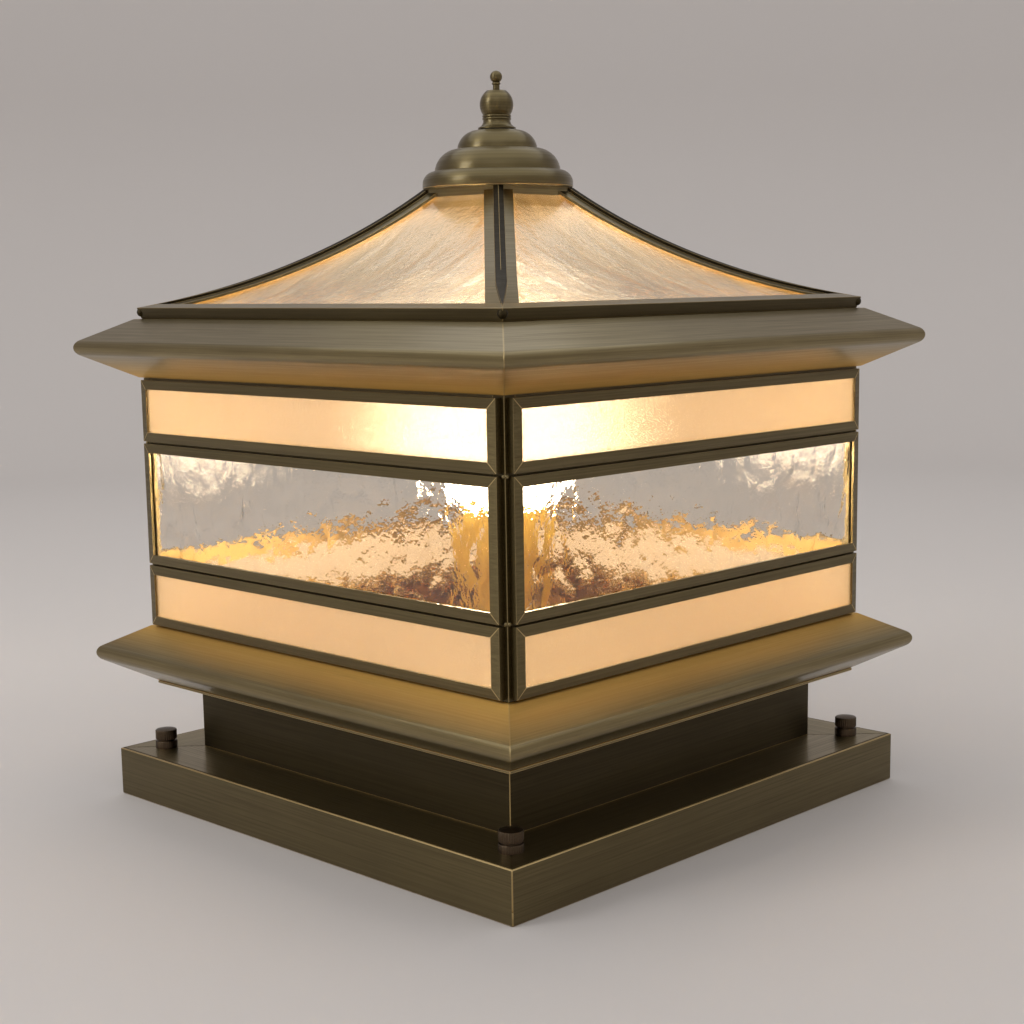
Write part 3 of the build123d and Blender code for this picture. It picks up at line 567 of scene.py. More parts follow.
# Each finish's name, slot, surface function and the numbers of that. A finish without a slot is only for
# nodes that keep their shape or for the stage. The rails are left unpolished, so they spread the lamp's light
# as a dull gold. Zinc plate is a cool satin grey with a bluish cast, nickel a warmer and brighter grey,
# contact brass a clean yellow and the lamp's lacquered housing a satin gold. Glazed porcelain is a glossy
# cream white, nylon a dull warm white, PVC a soft brown sheath and rubber a dull near black.
FINISHES = {
    "sheet": ("Antique bronze brushed sheet", "antique_brass", antique_bronze, "along", 0.34),
    "rail": ("Bronze sheet unpolished", "antique_brass", antique_bronze, "along", 0.6),
    "spun": ("Antique bronze spun", "antique_brass", antique_bronze, "round", 0.34),
    "knurled": ("Oxidised bronze knurled", "dark_bronze", oxidised_bronze),
    "opal": ("Opal glass rolled", "opal_glass", opal_glass),
    "hammered": ("Clear glass hammered", "hammered_glass", hammered_glass),
    "amber": ("Amber glass rolled", "amber_glass", amber_glass),
    "diffuser": ("Lit polycarbonate diffuser", "lamp_diffuser", lit_diffuser),
    "zinc": ("Zinc plated steel", "zinc_steel", turned_metal, "#C4C6C6", "#8E9498", 0.34),
    "nickel": ("Nickel plated brass", "nickel", turned_metal, "#CFCABF", "#A9A294", 0.26),
    "contact": ("Contact brass", None, turned_metal, "#D9B264", "#B48A3E", 0.3),
    "housing": ("Gold lacquered aluminium", "lamp_brass", turned_metal, "#EDCB5A", "#D2A63E", 0.5, 0.45),
    "porcelain": ("Glazed porcelain", "porcelain", moulded, "#F4EFE3", "#E6DECD", 0.16, 1.52, 3 * MM),
    "nylon": ("Moulded nylon", "terminal_plastic", moulded, "#E9E5DA", "#D8D2C4", 0.45, 1.53, 0.8 * MM),
    "sheath": ("PVC lead sheath", None, moulded, "#7A5434", "#63422A", 0.42, 1.53, 1.5 * MM),
    "rubber": ("Moulded rubber", "seal_rubber", moulded, "#2B2A29", "#1C1B1B", 0.62, 1.52, 0.7 * MM),
    "sweep": ("Painted studio sweep", None, studio_paint),
}


def finish(key):
    """The material of a finish, made the first time that it is asked for."""
    name, slot, surface, *numbers = FINISHES[key]
    if name not in bpy.data.materials:
        material = bpy.data.materials.new(name)
        material.use_nodes = True
        tree = material.node_tree
        tree.nodes.clear()
        add_node(tree, "OutputMaterial", {"Surface": surface(tree, *numbers)})
    return bpy.data.materials[name]


def start_shape():
    """An empty bmesh whose faces can be marked as rubbed with a painted highlight and as stained with painted
    shade, and whose points can be marked as raw brass with a painted gleam.
    """
    shape = bmesh.new()
    shape.faces.layers.float.new("wear_and_highlight")
    shape.faces.layers.float.new("stain_and_shade")
    shape.verts.layers.float.new("bare")
    return shape


def stain_and_shade(shape, amount, choose=lambda middle, normal: True):
    """Darkens all faces, or those that a function of their middle and their normal chooses, as staining on
    some pieces and as painted shade on others.
    """
    layer = shape.faces.layers.float["stain_and_shade"]
    for face in shape.faces:
        if choose(face.calc_center_median(), face.normal):
            face[layer] = amount


def mark_bare_and_gleam(shape, amount, choose):
    """Marks the points that a function of their place chooses as raw brass, which fades across the faces. At
    the eaves' roots this raw brass is a painted gleam.
    """
    layer = shape.verts.layers.float["bare"]
    for vert in shape.verts:
        if choose(vert.co):
            vert[layer] = amount


def half_width(place):
    """How far out a place lies on its side of the square."""
    return max(abs(place.x), abs(place.y))


def place_piece(shape, name, key, node):
    """Makes a piece of a bmesh, with its finish. It rides with the node that it stands for."""
    mesh = bpy.data.meshes.new(name)
    shape.to_mesh(mesh)
    shape.free()
    mesh.materials.append(finish(key))
    mesh.shade_smooth()
    mesh.set_sharp_from_angle(angle=SMOOTH_LIMIT)
    piece = bpy.data.objects.new(name, mesh)
    bpy.context.scene.collection.objects.link(piece)
    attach(piece, frame["nodes"][node]["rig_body"])
    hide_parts(node)
    return piece


def place_flat(shape, name, key, node):
    """Makes a piece whose large flat faces keep their flat shading beside rounded edges."""
    weighted = place_piece(shape, name, key, node).modifiers.new("Even shading", "WEIGHTED_NORMAL")
    weighted.keep_sharp = True


def dress_node(node, key):
    """Gives a construction node that keeps its shape its finish."""
    mesh = frame["nodes"][node].data
    mesh.materials.clear()
    mesh.materials.append(finish(key))


def close_shell(shape):
    """Welds a shell's seams and turns its faces outwards."""
    bmesh.ops.remove_doubles(shape, verts=shape.verts, dist=WELD)
    bmesh.ops.recalc_face_normals(shape, faces=shape.faces)


def sharp_edges(shape, least=SHARP_FOLD):
    """Edges between faces that turn by more than an angle."""
    return [edge for edge in shape.edges if edge.is_manifold and edge.calc_face_angle() > least]


def edges_at(edges, choose):
    """Edges with both ends where a function of their place says."""
    return [edge for edge in edges if all(choose(vert.co) for vert in edge.verts)]


def soften(shape, edges, width, segments=2, worn_and_highlit=1.0):
    """Rounds edges, and marks the new faces as rubbed, which lightens them as rubbing and as a painted
    highlight.
    """
    rounding = {"offset": width, "offset_type": "OFFSET", "segments": segments, "profile": 0.5}
    made = bmesh.ops.bevel(shape, geom=edges, affect="EDGES", material=-1, clamp_overlap=True, **rounding)
    wear_and_highlight = shape.faces.layers.float["wear_and_highlight"]
    for face in made["faces"]:
        face[wear_and_highlight] = worn_and_highlit
    return made["faces"]


def soften_folds(shape, width=None, segments=2, worn_and_highlit=1.0, least=SHARP_FOLD):
    """Rounds all sharp edges, by the sheet's edge where no width is given."""
    soften(shape, sharp_edges(shape, least), width or sizes().edge, segments, worn_and_highlit)


def spun_shell(points, steps, closed):
    """A shell from a run of points, spun about the upright axis."""
    shape = start_shape()
    verts = [shape.verts.new(point) for point in points]
    pairs = list(zip(verts, verts[1:]))
    if closed:
        pairs.append((verts[-1], verts[0]))
    run = verts + [shape.edges.new(pair) for pair in pairs]
    about = {"cent": (0, 0, 0), "axis": (0, 0, 1), "angle": math.tau}
    bmesh.ops.spin(shape, geom=run, steps=steps, use_merge=True, **about)
    close_shell(shape)
    return shape


def square_ring(outline):
    """A ring with mitred corners from a section in half-width and height."""
    return spun_shell([(half, -half, z) for half, z in outline], 4, True)


def turned(outline, closed=True, steps=None):
    """A turned piece from a section in radius and height."""
    points = [(max(radius, 0), 0, z) for radius, z in outline]
    return spun_shell(points, steps or sizes().turned_steps, closed)


def shaft(low, high, rings, steps=None):
    """A round shaft as high and wide as a box, with rings of points up its wall for a thread."""
    wall = [(high.x, low.z + (high.z - low.z) * step / rings) for step in range(rings + 1)]
    return turned([(0, low.z), *wall, (0, high.z)], False, steps)


def add_block(shape, low, high):
    """Adds a block between two corners."""
    middle = Matrix.Translation((Vector(low) + Vector(high)) / 2)
    size = Matrix.Diagonal((*(Vector(high) - Vector(low)), 1))
    bmesh.ops.create_cube(shape, size=1.0, matrix=middle @ size)


def add_drop(shape, place, radius):
    """Adds a drop of solder."""
    bmesh.ops.create_icosphere(shape, subdivisions=2, radius=radius, matrix=Matrix.Translation(place))


def arc(start, end, bulge, count=ARC_POINTS):
    """Points of an arc after its start, standing out to the right of the way by the bulge."""
    first = Vector(start)
    last = Vector(end)
    chord = last - first
    along = chord.normalized()
    aside = Vector((along.y, -along.x))
    half_angle = 2 * math.atan2(2 * bulge, chord.length)
    radius = chord.length / 2 / math.sin(half_angle)
    centre = (first + last) / 2 - aside * radius * math.cos(half_angle)
    points = []
    for step in range(1, count + 1):
        angle = half_angle * (2 * step / count - 1)
        points.append(tuple(centre + aside * radius * math.cos(angle) + along * radius * math.sin(angle)))
    return points


def ball_points(middle, radius, low, high, count):
    """Points up a ball's outline between two heights about its middle."""
    first = math.asin(low / radius)
    last = math.asin(high / radius)
    angles = [first + (last - first) * step / count for step in range(count + 1)]
    return [(radius * math.cos(angle), middle + radius * math.sin(angle)) for angle in angles]


def tangent_point(point, centre, radius, side):
    """Where a line from a point touches a circle, on the side given as 1 or -1."""
    run = Vector(centre) - Vector(point)
    turn = side * math.asin(radius / run.length)
    reach = math.sqrt(run.length**2 - radius**2)
    angle = math.atan2(run.y, run.x) + turn
    return (point[0] + reach * math.cos(angle), point[1] + reach * math.sin(angle))


def thickened(path, sheet):
    """A closed section: a path, and the same path set to its left by the sheet."""
    points = [Vector(point) for point in path]
    inner = []
    for index, point in enumerate(points):
        before = (point - points[index - 1]) if index else (points[1] - point)
        after = (points[index + 1] - point) if index + 1 < len(points) else before
        left_before = Vector((-before.y, before.x)).normalized()
        left_after = Vector((-after.y, after.x)).normalized()
        mitre = (left_before + left_after).normalized()
        inner.append(point + mitre * sheet / mitre.dot(left_before))
    return [tuple(point) for point in points + inner[::-1]]


def points_of(items):
    """The points among a bmesh's items."""
    return [item for item in items if isinstance(item, bmesh.types.BMVert)]


def skin_rings(shape, rings, closed):
    """Extrudes a ring of points through the rings after it, and back to the first or into a closed end."""
    verts = [shape.verts.new(point) for point in rings[0]]
    first = [shape.edges.new(pair) for pair in zip(verts, verts[1:] + verts[:1])]
    edges = first
    following = rings[1:] + rings[:1] if closed else rings[1:]
    for ring, next_ring in zip(rings, following):
        made = bmesh.ops.extrude_edge_only(shape, edges=edges)["geom"]
        edges = [item for item in made if isinstance(item, bmesh.types.BMEdge)]
        for vert in points_of(made):
            nearest = min(range(len(ring)), key=lambda index: (vert.co - Vector(ring[index])).length)
            vert.co = next_ring[nearest]
    if not closed:
        bmesh.ops.holes_fill(shape, edges=first + edges)
    close_shell(shape)


def skinned(rings, closed=False):
    """A shell of its own from rings of points."""
    shape = start_shape()
    skin_rings(shape, rings, closed)
    return shape


def upright_rings(low, high, section):
    """Oblong rings in an upright box at the front, each set in by a distance and at a depth."""
    rings = []
    for inset, y in section:
        half = high.x - inset
        bottom = low.z + inset
        top = high.z - inset
        rings.append([(-half, y, bottom), (half, y, bottom), (half, y, top), (-half, y, top)])
    return rings


def rolled_sheet(columns, rows, surface):
    """A closed sheet of glass: an extruded grid, with both layers put where the surface function says."""
    shape = start_shape()
    bmesh.ops.create_grid(shape, x_segments=columns, y_segments=rows, size=0.5)
    outer = set(points_of(bmesh.ops.extrude_face_region(shape, geom=shape.faces[:])["geom"]))
    for vert in shape.verts:
        vert.co = surface(vert.co.x + 0.5, vert.co.y + 0.5, vert in outer)
    bmesh.ops.recalc_face_normals(shape, faces=shape.faces)
    return shape


def quarter_turn(quarter):
    """A turn from the front to another side."""
    return Matrix.Rotation(quarter * QUARTER_TURN, 4, "Z")


def turn_to_side(shape, quarter):
    """Turns a shape made at the front to another side."""
    bmesh.ops.transform(shape, matrix=quarter_turn(quarter), verts=shape.verts)


def everything(shape):
    """All items of a bmesh."""
    return shape.verts[:] + shape.edges[:] + shape.faces[:]


def repeat(shape, moves):
    """Repeats the whole shape by each move, and gives the items of the first one."""
    pattern = everything(shape)
    for move in moves:
        copy = bmesh.ops.duplicate(shape, geom=pattern)["geom"]
        bmesh.ops.transform(shape, matrix=move, verts=points_of(copy))
    return pattern


def repeat_at(shape, places):
    """Repeats the whole shape at each place and drops the first one."""
    pattern = repeat(shape, [Matrix.Translation(place) for place in places])
    bmesh.ops.delete(shape, geom=points_of(pattern))


def repeat_round(shape):
    """Repeats a shape made at one side at the other three."""
    repeat(shape, [quarter_turn(quarter) for quarter in range(1, 4)])


def anchor_places():
    """The four studs on the tray's deck."""
    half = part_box("base_tray")[1].x - ANCHOR_EDGE
    return [Vector((x, y, 0)) for x in (-half, half) for y in (-half, half)]


def knurl(shape, low, high):
    """Presses upright grooves into the round wall between two heights."""
    pitch = math.tau / sizes().turned_steps
    stride = max(1, round(sizes().turned_steps / sizes().knurl_count / 2))
    for vert in shape.verts:
        if low - WELD < vert.co.z < high + WELD:
            column = round(math.atan2(vert.co.y, vert.co.x) / pitch)
            if (column // stride) % 2:
                radius = vert.co.xy.length
                vert.co.xy *= (radius - sizes().knurl_depth) / radius


def cut_thread(shape, low, high, pitch, depth):
    """Presses a helical groove into the round wall between two heights, running out at both ends."""
    for vert in shape.verts:
        radius = vert.co.xy.length
        if low < vert.co.z < high and radius > WELD:
            phase = vert.co.z / pitch - math.atan2(vert.co.y, vert.co.x) / math.tau
            run_out = min(1.0, (vert.co.z - low) / pitch, (high - vert.co.z) / pitch)
            groove = depth * run_out * (0.5 - 0.5 * math.cos(math.tau * phase))
            vert.co.xy *= (radius - groove) / radius


def roof_height(half, depth):
    """Height of the roof's sweep at a half-width, a depth under the hips' crest."""
    rim = ROOF_BOXES["roof_rim"][1]
    near = ROOF_BOXES["roof_pane_right"][0].x - CROWN_CLEARANCE
    foot = Vector((rim.x, rim.z))
    top = Vector((near, ROOF_BOXES["crown"][1].z - LIGHT_SHEET))
    chord = top - foot
    radius = (chord.length_squared / 4 + ROOF_SAG**2) / (2 * ROOF_SAG)
    outward = Vector((chord.y, -chord.x)).normalized()
    centre = (foot + top) / 2 + outward * (radius - ROOF_SAG)
    return centre.y - math.sqrt((radius + depth) ** 2 - (half - centre.x) ** 2)


class LANTERN_OT_base_tray(bpy.types.Operator):
    """Folds the tray, with slit corners and seams across its deck"""

    bl_idname = "lantern.base_tray"
    bl_label = "Base tray"

    def execute(self, context):
        low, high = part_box("base_tray")
        half = high.x
        top = high.z
        under = top - HEAVY_SHEET
        inner = half - HEAVY_SHEET
        deck = [(CABLE_OPENING, top), (CABLE_OPENING, under)]
        shape = square_ring([(half, 0), (half, top), *deck, (inner, under), (inner, 0)])
        folds = edges_at(shape.edges, lambda place: min(abs(place.x), abs(place.y)) > half - WELD)
        soften(shape, folds, FOLD_WIDTH, segments=1)
        rims = edges_at(sharp_edges(shape), lambda place: place.z > top - WELD)
        rims = edges_at(rims, lambda place: place.xy.length > half - WELD)
        soften(shape, rims, TRAY_EDGE, segments=3)
        self.cut_slits(shape, SLIT_LOW, top - SLIT_TOP_MARGIN)
        self.cut_seams(shape, top)
        # Painted shade: the tray's upright sides are darkened.
        stain_and_shade(shape, TRAY_SIDE_SHADE, lambda middle, normal: abs(normal.z) < SIDE_FACE)
        place_flat(shape, "folded_tray", "sheet", "base_tray")
        return {"FINISHED"}

    def cut_slits(self, shape, low, high):
        """Sinks an open slit into each folded corner."""
        for z in (low, high):
            bmesh.ops.bisect_plane(shape, geom=everything(shape), plane_co=(0, 0, z), plane_no=(0, 0, 1))
        slits = []
        for face in shape.faces:
            x, y, z = face.normal
            slanted = abs(abs(x) - abs(y)) < SLANT_SLACK and abs(z) < SLANT_SLACK
            if slanted and low < face.calc_center_median().z < high:
                slits.append(face)
        bmesh.ops.inset_individual(shape, faces=slits, thickness=SLIT_WALL, depth=-SLIT_DEPTH)

    def cut_seams(self, shape, top):
        """Sinks a fine seam along each diagonal of the deck."""
        level = edges_at(shape.edges, lambda place: abs(place.z - top) < WELD)
        seams = edges_at(level, lambda place: abs(abs(place.x) - abs(place.y)) < WELD)
        strips = soften(shape, seams, SEAM_HALF_WIDTH, segments=1, worn_and_highlit=0.0)
        bmesh.ops.inset_individual(shape, faces=strips, thickness=SEAM_WALL, depth=-SEAM_DEPTH)


class LANTERN_OT_anchors(bpy.types.Operator):
    """Turns and knurls the collars and cap nuts on the four studs"""

    bl_idname = "lantern.anchors"
    bl_label = "Anchors"

    def execute(self, context):
        low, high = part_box("anchor_collars")
        radius = high.x - anchor_places()[-1].x
        edge = sizes().edge
        bore = STUD + STUD_PLAY
        wall = [(radius, low.z), (radius, high.z - edge), (radius - edge, high.z)]
        shape = turned([(bore, low.z), *wall, (bore, high.z)])
        knurl(shape, low.z + edge, high.z - edge)
        repeat_at(shape, anchor_places())
        place_piece(shape, "knurled_collars", "knurled", "anchor_collars")
        self.make_nuts()
        return {"FINISHED"}

    def make_nuts(self):
        low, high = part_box("anchor_cap_nuts")
        radius = high.x - anchor_places()[-1].x
        shoulder = high.z - NUT_DOME
        waist, waist_height = NUT_WAIST
        waist_top = low.z + waist_height + (radius - waist) / 2
        edge = sizes().edge
        outline = [(0, low.z + STUD_DEPTH), (STUD, low.z + STUD_DEPTH), (STUD, low.z)]
        outline += [(waist, low.z), (waist, low.z + waist_height)]
        outline += [(radius, waist_top), (radius, shoulder), (radius - edge, shoulder + edge)]
        outline += arc(outline[-1], (0, high.z), NUT_DOME_BULGE, BEAD_POINTS)
        shape = turned(outline, closed=False)
        knurl(shape, waist_top, shoulder)
        repeat_at(shape, anchor_places())
        place_piece(shape, "knurled_cap_nuts", "knurled", "anchor_cap_nuts")


class LANTERN_OT_neck(bpy.types.Operator):
    """Folds the neck box and cuts the plate on it"""

    bl_idname = "lantern.neck"
    bl_label = "Neck and plate"

    def execute(self, context):
        low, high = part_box("neck_box")
        inner = high.x - HEAVY_SHEET
        shape = self.tube(low, high, inner)
        # Painted shade: the neck under the lower eave is darkened.
        stain_and_shade(shape, NECK_SHADE)
        mark_bare_and_gleam(shape, 1.0, lambda place: half_width(place) < inner + sizes().edge)
        place_flat(shape, "folded_neck", "sheet", "neck_box")
        low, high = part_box("lower_plate")
        shape = self.tube(low, high, PLATE_OPENING)
        mark_bare_and_gleam(shape, 1.0, lambda place: place.z > high.z - WELD)
        place_flat(shape, "neck_plate", "sheet", "lower_plate")
        return {"FINISHED"}

    def tube(self, low, high, inner):
        """A square tube with rounded edges."""
        shape = square_ring([(high.x, low.z), (high.x, high.z), (inner, high.z), (inner, low.z)])
        soften_folds(shape)
        return shape


class LANTERN_OT_eaves(bpy.types.Operator):
    """Folds the two wedge-shaped eaves with their rounded noses"""

    bl_idname = "lantern.eaves"
    bl_label = "Eaves"

    def execute(self, context):
        body_half = -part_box("clear_frame_front")[0].y
        root = body_half - EAVE_TUCK
        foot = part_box("lower_plate")[1].x - PLATE_LIP
        self.fold_eave("lower_eave", foot, root, EAVE_FLANGE, "top")
        self.fold_eave("upper_eave", root, body_half - DECK_INSET, DECK_FLANGE, "foot")
        return {"FINISHED"}

    def fold_eave(self, node, foot_half, top_half, top_flange, root):
        """Folds an eave from foot to top round its nose, with raw brass in its hollow and a painted gleam in
        raw brass at its root.
        """
        low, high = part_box(node)
        foot = (foot_half, low.z)
        top = (top_half, high.z)
        centre = (high.x - EAVE_NOSE_RADIUS, low.z + EAVE_NOSE_HEIGHT)
        below = tangent_point(foot, centre, EAVE_NOSE_RADIUS, -1)
        above = tangent_point(top, centre, EAVE_NOSE_RADIUS, 1)
        chord = Vector(above) - Vector(below)
        swing = math.asin(chord.length / 2 / EAVE_NOSE_RADIUS)
        bulge = EAVE_NOSE_RADIUS * (1 - math.cos(swing))
        path = [(foot_half - EAVE_FLANGE, low.z), foot, below]
        path += arc(below, above, bulge)
        path += [top, (top_half - top_flange, high.z)]
        shape = square_ring(thickened(path, LIGHT_SHEET))
        mark_bare_and_gleam(shape, EAVE_HOLLOW_BARE, lambda place: self.off_path(place, path) >= LIGHT_SHEET / 2)
        soften_folds(shape, worn_and_highlit=EAVE_WEAR_AND_HIGHLIGHT)
        corner = top if root == "top" else foot
        # Painted gleam: the root beside the panes takes the raw brass colour for the lamp's light there.
        mark_bare_and_gleam(shape, EAVE_ROOT_GLEAM, lambda place: self.off_path(place, [corner]) < EAVE_ROOT_REACH)
        place_flat(shape, f"folded_{node}", "sheet", node)

    def off_path(self, place, path):
        """How far a place lies from the nearest point of a section."""
        spot = Vector((half_width(place), place.z))
        return min((spot - Vector(point)).length for point in path)


class LANTERN_OT_posts(bpy.types.Operator):
    """Folds the corner angles, and cuts the rails between them"""

    bl_idname = "lantern.posts"
    bl_label = "Corner posts and rails"

    def execute(self, context):
        low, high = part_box("corner_posts")
        outer = high.x
        inner = outer - POST_FLANGE
        web = outer - LIGHT_SHEET
        plan = [(inner, -outer), (outer, -outer), (outer, -inner), (web, -inner), (web, -web), (inner, -web)]
        shape = skinned([[(x, y, z) for x, y in plan] for z in (low.z, high.z)])
        soften_folds(shape, worn_and_highlit=POST_WEAR_AND_HIGHLIGHT)
        # Painted shade: the posts, set back between the frames, are darkened.
        stain_and_shade(shape, POST_SHADE)
        self.add_solder(shape, outer)
        repeat_round(shape)
        place_flat(shape, "corner_angles", "sheet", "corner_posts")
        self.make_rails(outer, inner - RAIL_END_GAP)
        return {"FINISHED"}

    def add_solder(self, shape, outer):
        """Drops of solder beside the joints between the tiers, on both faces of a corner."""
        low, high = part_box("clear_frame_front")
        aside = (high.x + outer) / 2
        for z in (low.z, high.z):
            add_drop(shape, (aside, -outer, z), SOLDER_DOT)
            add_drop(shape, (outer, -aside, z), SOLDER_DOT)

    def make_rails(self, outer, half_length):
        """Strips behind the joints between the tiers."""
        low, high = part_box("tier_rails")
        reach = FRAME_BAR - RAIL_SETBACK
        tiers = [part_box(f"{tier}_frame_front") for tier in TIERS]
        bottoms = [low.z] + [top.z - reach for bottom, top in tiers]
        tops = [bottom.z + reach for bottom, top in tiers] + [high.z]
        shape = start_shape()
        for bottom, top in zip(bottoms, tops):
            add_block(shape, (-half_length, -outer, bottom), (half_length, LIGHT_SHEET - outer, top))
        soften_folds(shape)
        mark_bare_and_gleam(shape, RAIL_BARE, lambda place: place.y > LIGHT_SHEET / 2 - outer)
        repeat_round(shape)
        place_flat(shape, "cut_rails", "rail", "tier_rails")


class LANTERN_OT_frames(bpy.types.Operator):
    """Mitres the twelve pane frames"""

    bl_idname = "lantern.frames"
    bl_label = "Pane frames"

    def execute(self, context):
        for tier in TIERS:
            low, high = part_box(f"{tier}_frame_front")
            for quarter, side in enumerate(SIDES):
                shape = self.mitre_frame(low, high)
                turn_to_side(shape, quarter)
                place_flat(shape, f"mitred_{tier}_{side}", "sheet", f"{tier}_frame_{side}")
        return {"FINISHED"}

    def mitre_frame(self, low, high):
        """Bars that slope away from the pane, with a rebate behind it."""
        slope = low.y + FRAME_SLOPE
        pane = high.y - PANE_THICKNESS
        rebate = FRAME_BAR - PANE_OVERLAP
        section = [(0, high.y), (0, slope), (FRAME_BAR, low.y)]
        section += [(FRAME_BAR, pane), (rebate, pane), (rebate, high.y)]
        shape = skinned(upright_rings(low, high, section), closed=True)
        facing = [face for face in shape.faces if face.normal.y < -FRONT_FACE]
        mitres = [edge for edge in shape.edges if all(face in facing for face in edge.link_faces)]
        # The mitre lines and outer edges are lightened, partly as real rubbing and partly as a painted
        # highlight.
        soften(shape, mitres, MITRE_LINE, segments=1)
        outer = edges_at(sharp_edges(shape), lambda place: place.y < slope + WELD)
        soften(shape, outer, sizes().frame_edge, segments=3, worn_and_highlit=FRAME_WEAR_AND_HIGHLIGHT)
        stain_and_shade(shape, FRAME_STAIN)
        return shape


class LANTERN_OT_opal_panes(bpy.types.Operator):
    """Grinds the bevelled opal panes of the low frames"""

    bl_idname = "lantern.opal_panes"
    bl_label = "Opal panes"

    def execute(self, context):
        for tier in (TIERS[0], TIERS[-1]):
            low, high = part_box(f"{tier}_pane_front")
            section = [(0, high.y), (0, low.y), (OPAL_BORDER, low.y - OPAL_RISE)]
            for quarter, side in enumerate(SIDES):
                shape = skinned(upright_rings(low, high, section))
                soften_folds(shape, least=OPAL_FOLD)
                turn_to_side(shape, quarter)
                place_piece(shape, f"opal_{tier}_{side}", "opal", f"{tier}_pane_{side}")
        return {"FINISHED"}


class LANTERN_OT_hammered_panes(bpy.types.Operator):
    """Rolls the clear panes with their hammered inner faces"""

    bl_idname = "lantern.hammered_panes"
    bl_label = "Hammered panes"

    def execute(self, context):
        noise.seed_set(GLASS_SEED)
        low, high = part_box("clear_pane_front")
        columns = round((high.x - low.x) / sizes().glass_step)
        rows = round((high.z - low.z) / sizes().glass_step)
        for quarter, side in enumerate(SIDES):
            shift = Vector((quarter * DIMPLE_SHIFT, 0, 0))

            def surface(across, along, outer):
                x = low.x + across * (high.x - low.x)
                z = low.z + along * (high.z - low.z)
                y = low.y if outer else high.y - self.dimple(x, z, shift)
                return Vector((x, y, z))

            shape = rolled_sheet(columns, rows, surface)
            turn_to_side(shape, quarter)
            place_piece(shape, f"hammered_pane_{side}", "hammered", f"clear_pane_{side}")
        return {"FINISHED"}

    def dimple(self, x, z, shift):
        """Depth of the hammered face at a place: hollows and ridges, drawn out a little upwards."""
        pitch = sizes().hammer_pitch
        warp_scale, warp_strength = DIMPLE_WARP
        spot = Vector((x / pitch, 0, z / pitch * DIMPLE_STRETCH)) + shift
        warp = noise.noise_vector(spot * warp_scale) * warp_strength
        reach = noise.voronoi(spot + warp)[0][0]
        return sizes().hammer_depth * (1 - min(1.0, reach) ** 2)


class LANTERN_OT_roof_rim(bpy.types.Operator):
    """Folds the flared strip that the roof stands in, and its bar over the panes' lower edge"""

    bl_idname = "lantern.roof_rim"
    bl_label = "Roof rim"

    def execute(self, context):
        low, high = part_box("roof_rim")
        foot = high.x - RIM_FLARE
        inner = high.x - RIM_BAR
        path = [(foot - RIM_FLANGE, low.z), (foot, low.z), (high.x, high.z)]
        path += [(inner, roof_height(inner, RIM_BAR_DEPTH))]
        shape = square_ring(thickened(path, LIGHT_SHEET))
        soften_folds(shape, worn_and_highlit=EAVE_WEAR_AND_HIGHLIGHT, least=RIM_FOLD)
        # Painted shade: the rim's upright and lower faces are darkened.
        stain_and_shade(shape, RIM_SIDE_SHADE, lambda middle, normal: normal.z < SIDE_FACE)
        place_flat(shape, "flared_rim", "sheet", "roof_rim")
        return {"FINISHED"}


class LANTERN_OT_roof_hips(bpy.types.Operator):
    """Rolls the four hip bars with their tapered ribs"""

    bl_idname = "lantern.roof_hips"
    bl_label = "Roof hips"

    def execute(self, context):
        near, far = [corner.x for corner in ROOF_BOXES["roof_pane_right"]]
        halves = [near + (far - near) * station / HIP_STATIONS for station in range(HIP_STATIONS + 1)]
        for quarter, corner in enumerate(CORNERS):
            shape = skinned([self.section(half, far) for half in halves])
            stain_and_shade(shape, HIP_STAIN)
            # Painted dark reflection: the rib is darkened to near black.
            stain_and_shade(shape, 1.0, self.on_rib)
            soften_folds(shape, HIP_EDGE, least=HIP_FOLD)
            self.add_solder(shape)
            turn_to_side(shape, quarter - 1)
            place_flat(shape, f"hip_bar_{corner}", "sheet", f"roof_hip_{corner}")
        return {"FINISHED"}

    def add_solder(self, shape):
        """A dark drop of solder that joins the hip's foot to the rim's corner."""
        rim = ROOF_BOXES["roof_rim"][1]
        place = Vector((rim.x - BLOB_SETBACK, rim.x - BLOB_SETBACK, rim.z - SOLDER_BLOB))
        add_drop(shape, place, SOLDER_BLOB)
        stain_and_shade(shape, SOLDER_STAIN, lambda middle, normal: (middle - place).length < SOLDER_BLOB)

    def on_rib(self, middle, normal):
        """Whether a face lies above the flanges."""
        return middle.z > roof_height(max(middle.x, middle.y), RIB_HEIGHT * RIB_SEAT)

    def section(self, half, far):
        """One ring of points at a half-width: two flanges and the rib between them."""
        flange = HIP_WIDTH / 2 * DIAGONAL
        rib = RIB_WIDTH / 2 * DIAGONAL * max(RIB_TIP, min(1.0, (far - half) / RIB_TAPER))
        crest = roof_height(half, 0)
        seat = roof_height(half, RIB_HEIGHT)
        under = roof_height(half, RIB_HEIGHT + HIP_SHEET)
        right = [(0, crest), (rib, crest), (rib, seat), (flange, seat), (flange, under), (0, under)]
        ring = [(half, half - set_in, z) for set_in, z in right]
        return ring + [(half - set_in, half, z) for set_in, z in right[4:0:-1]]


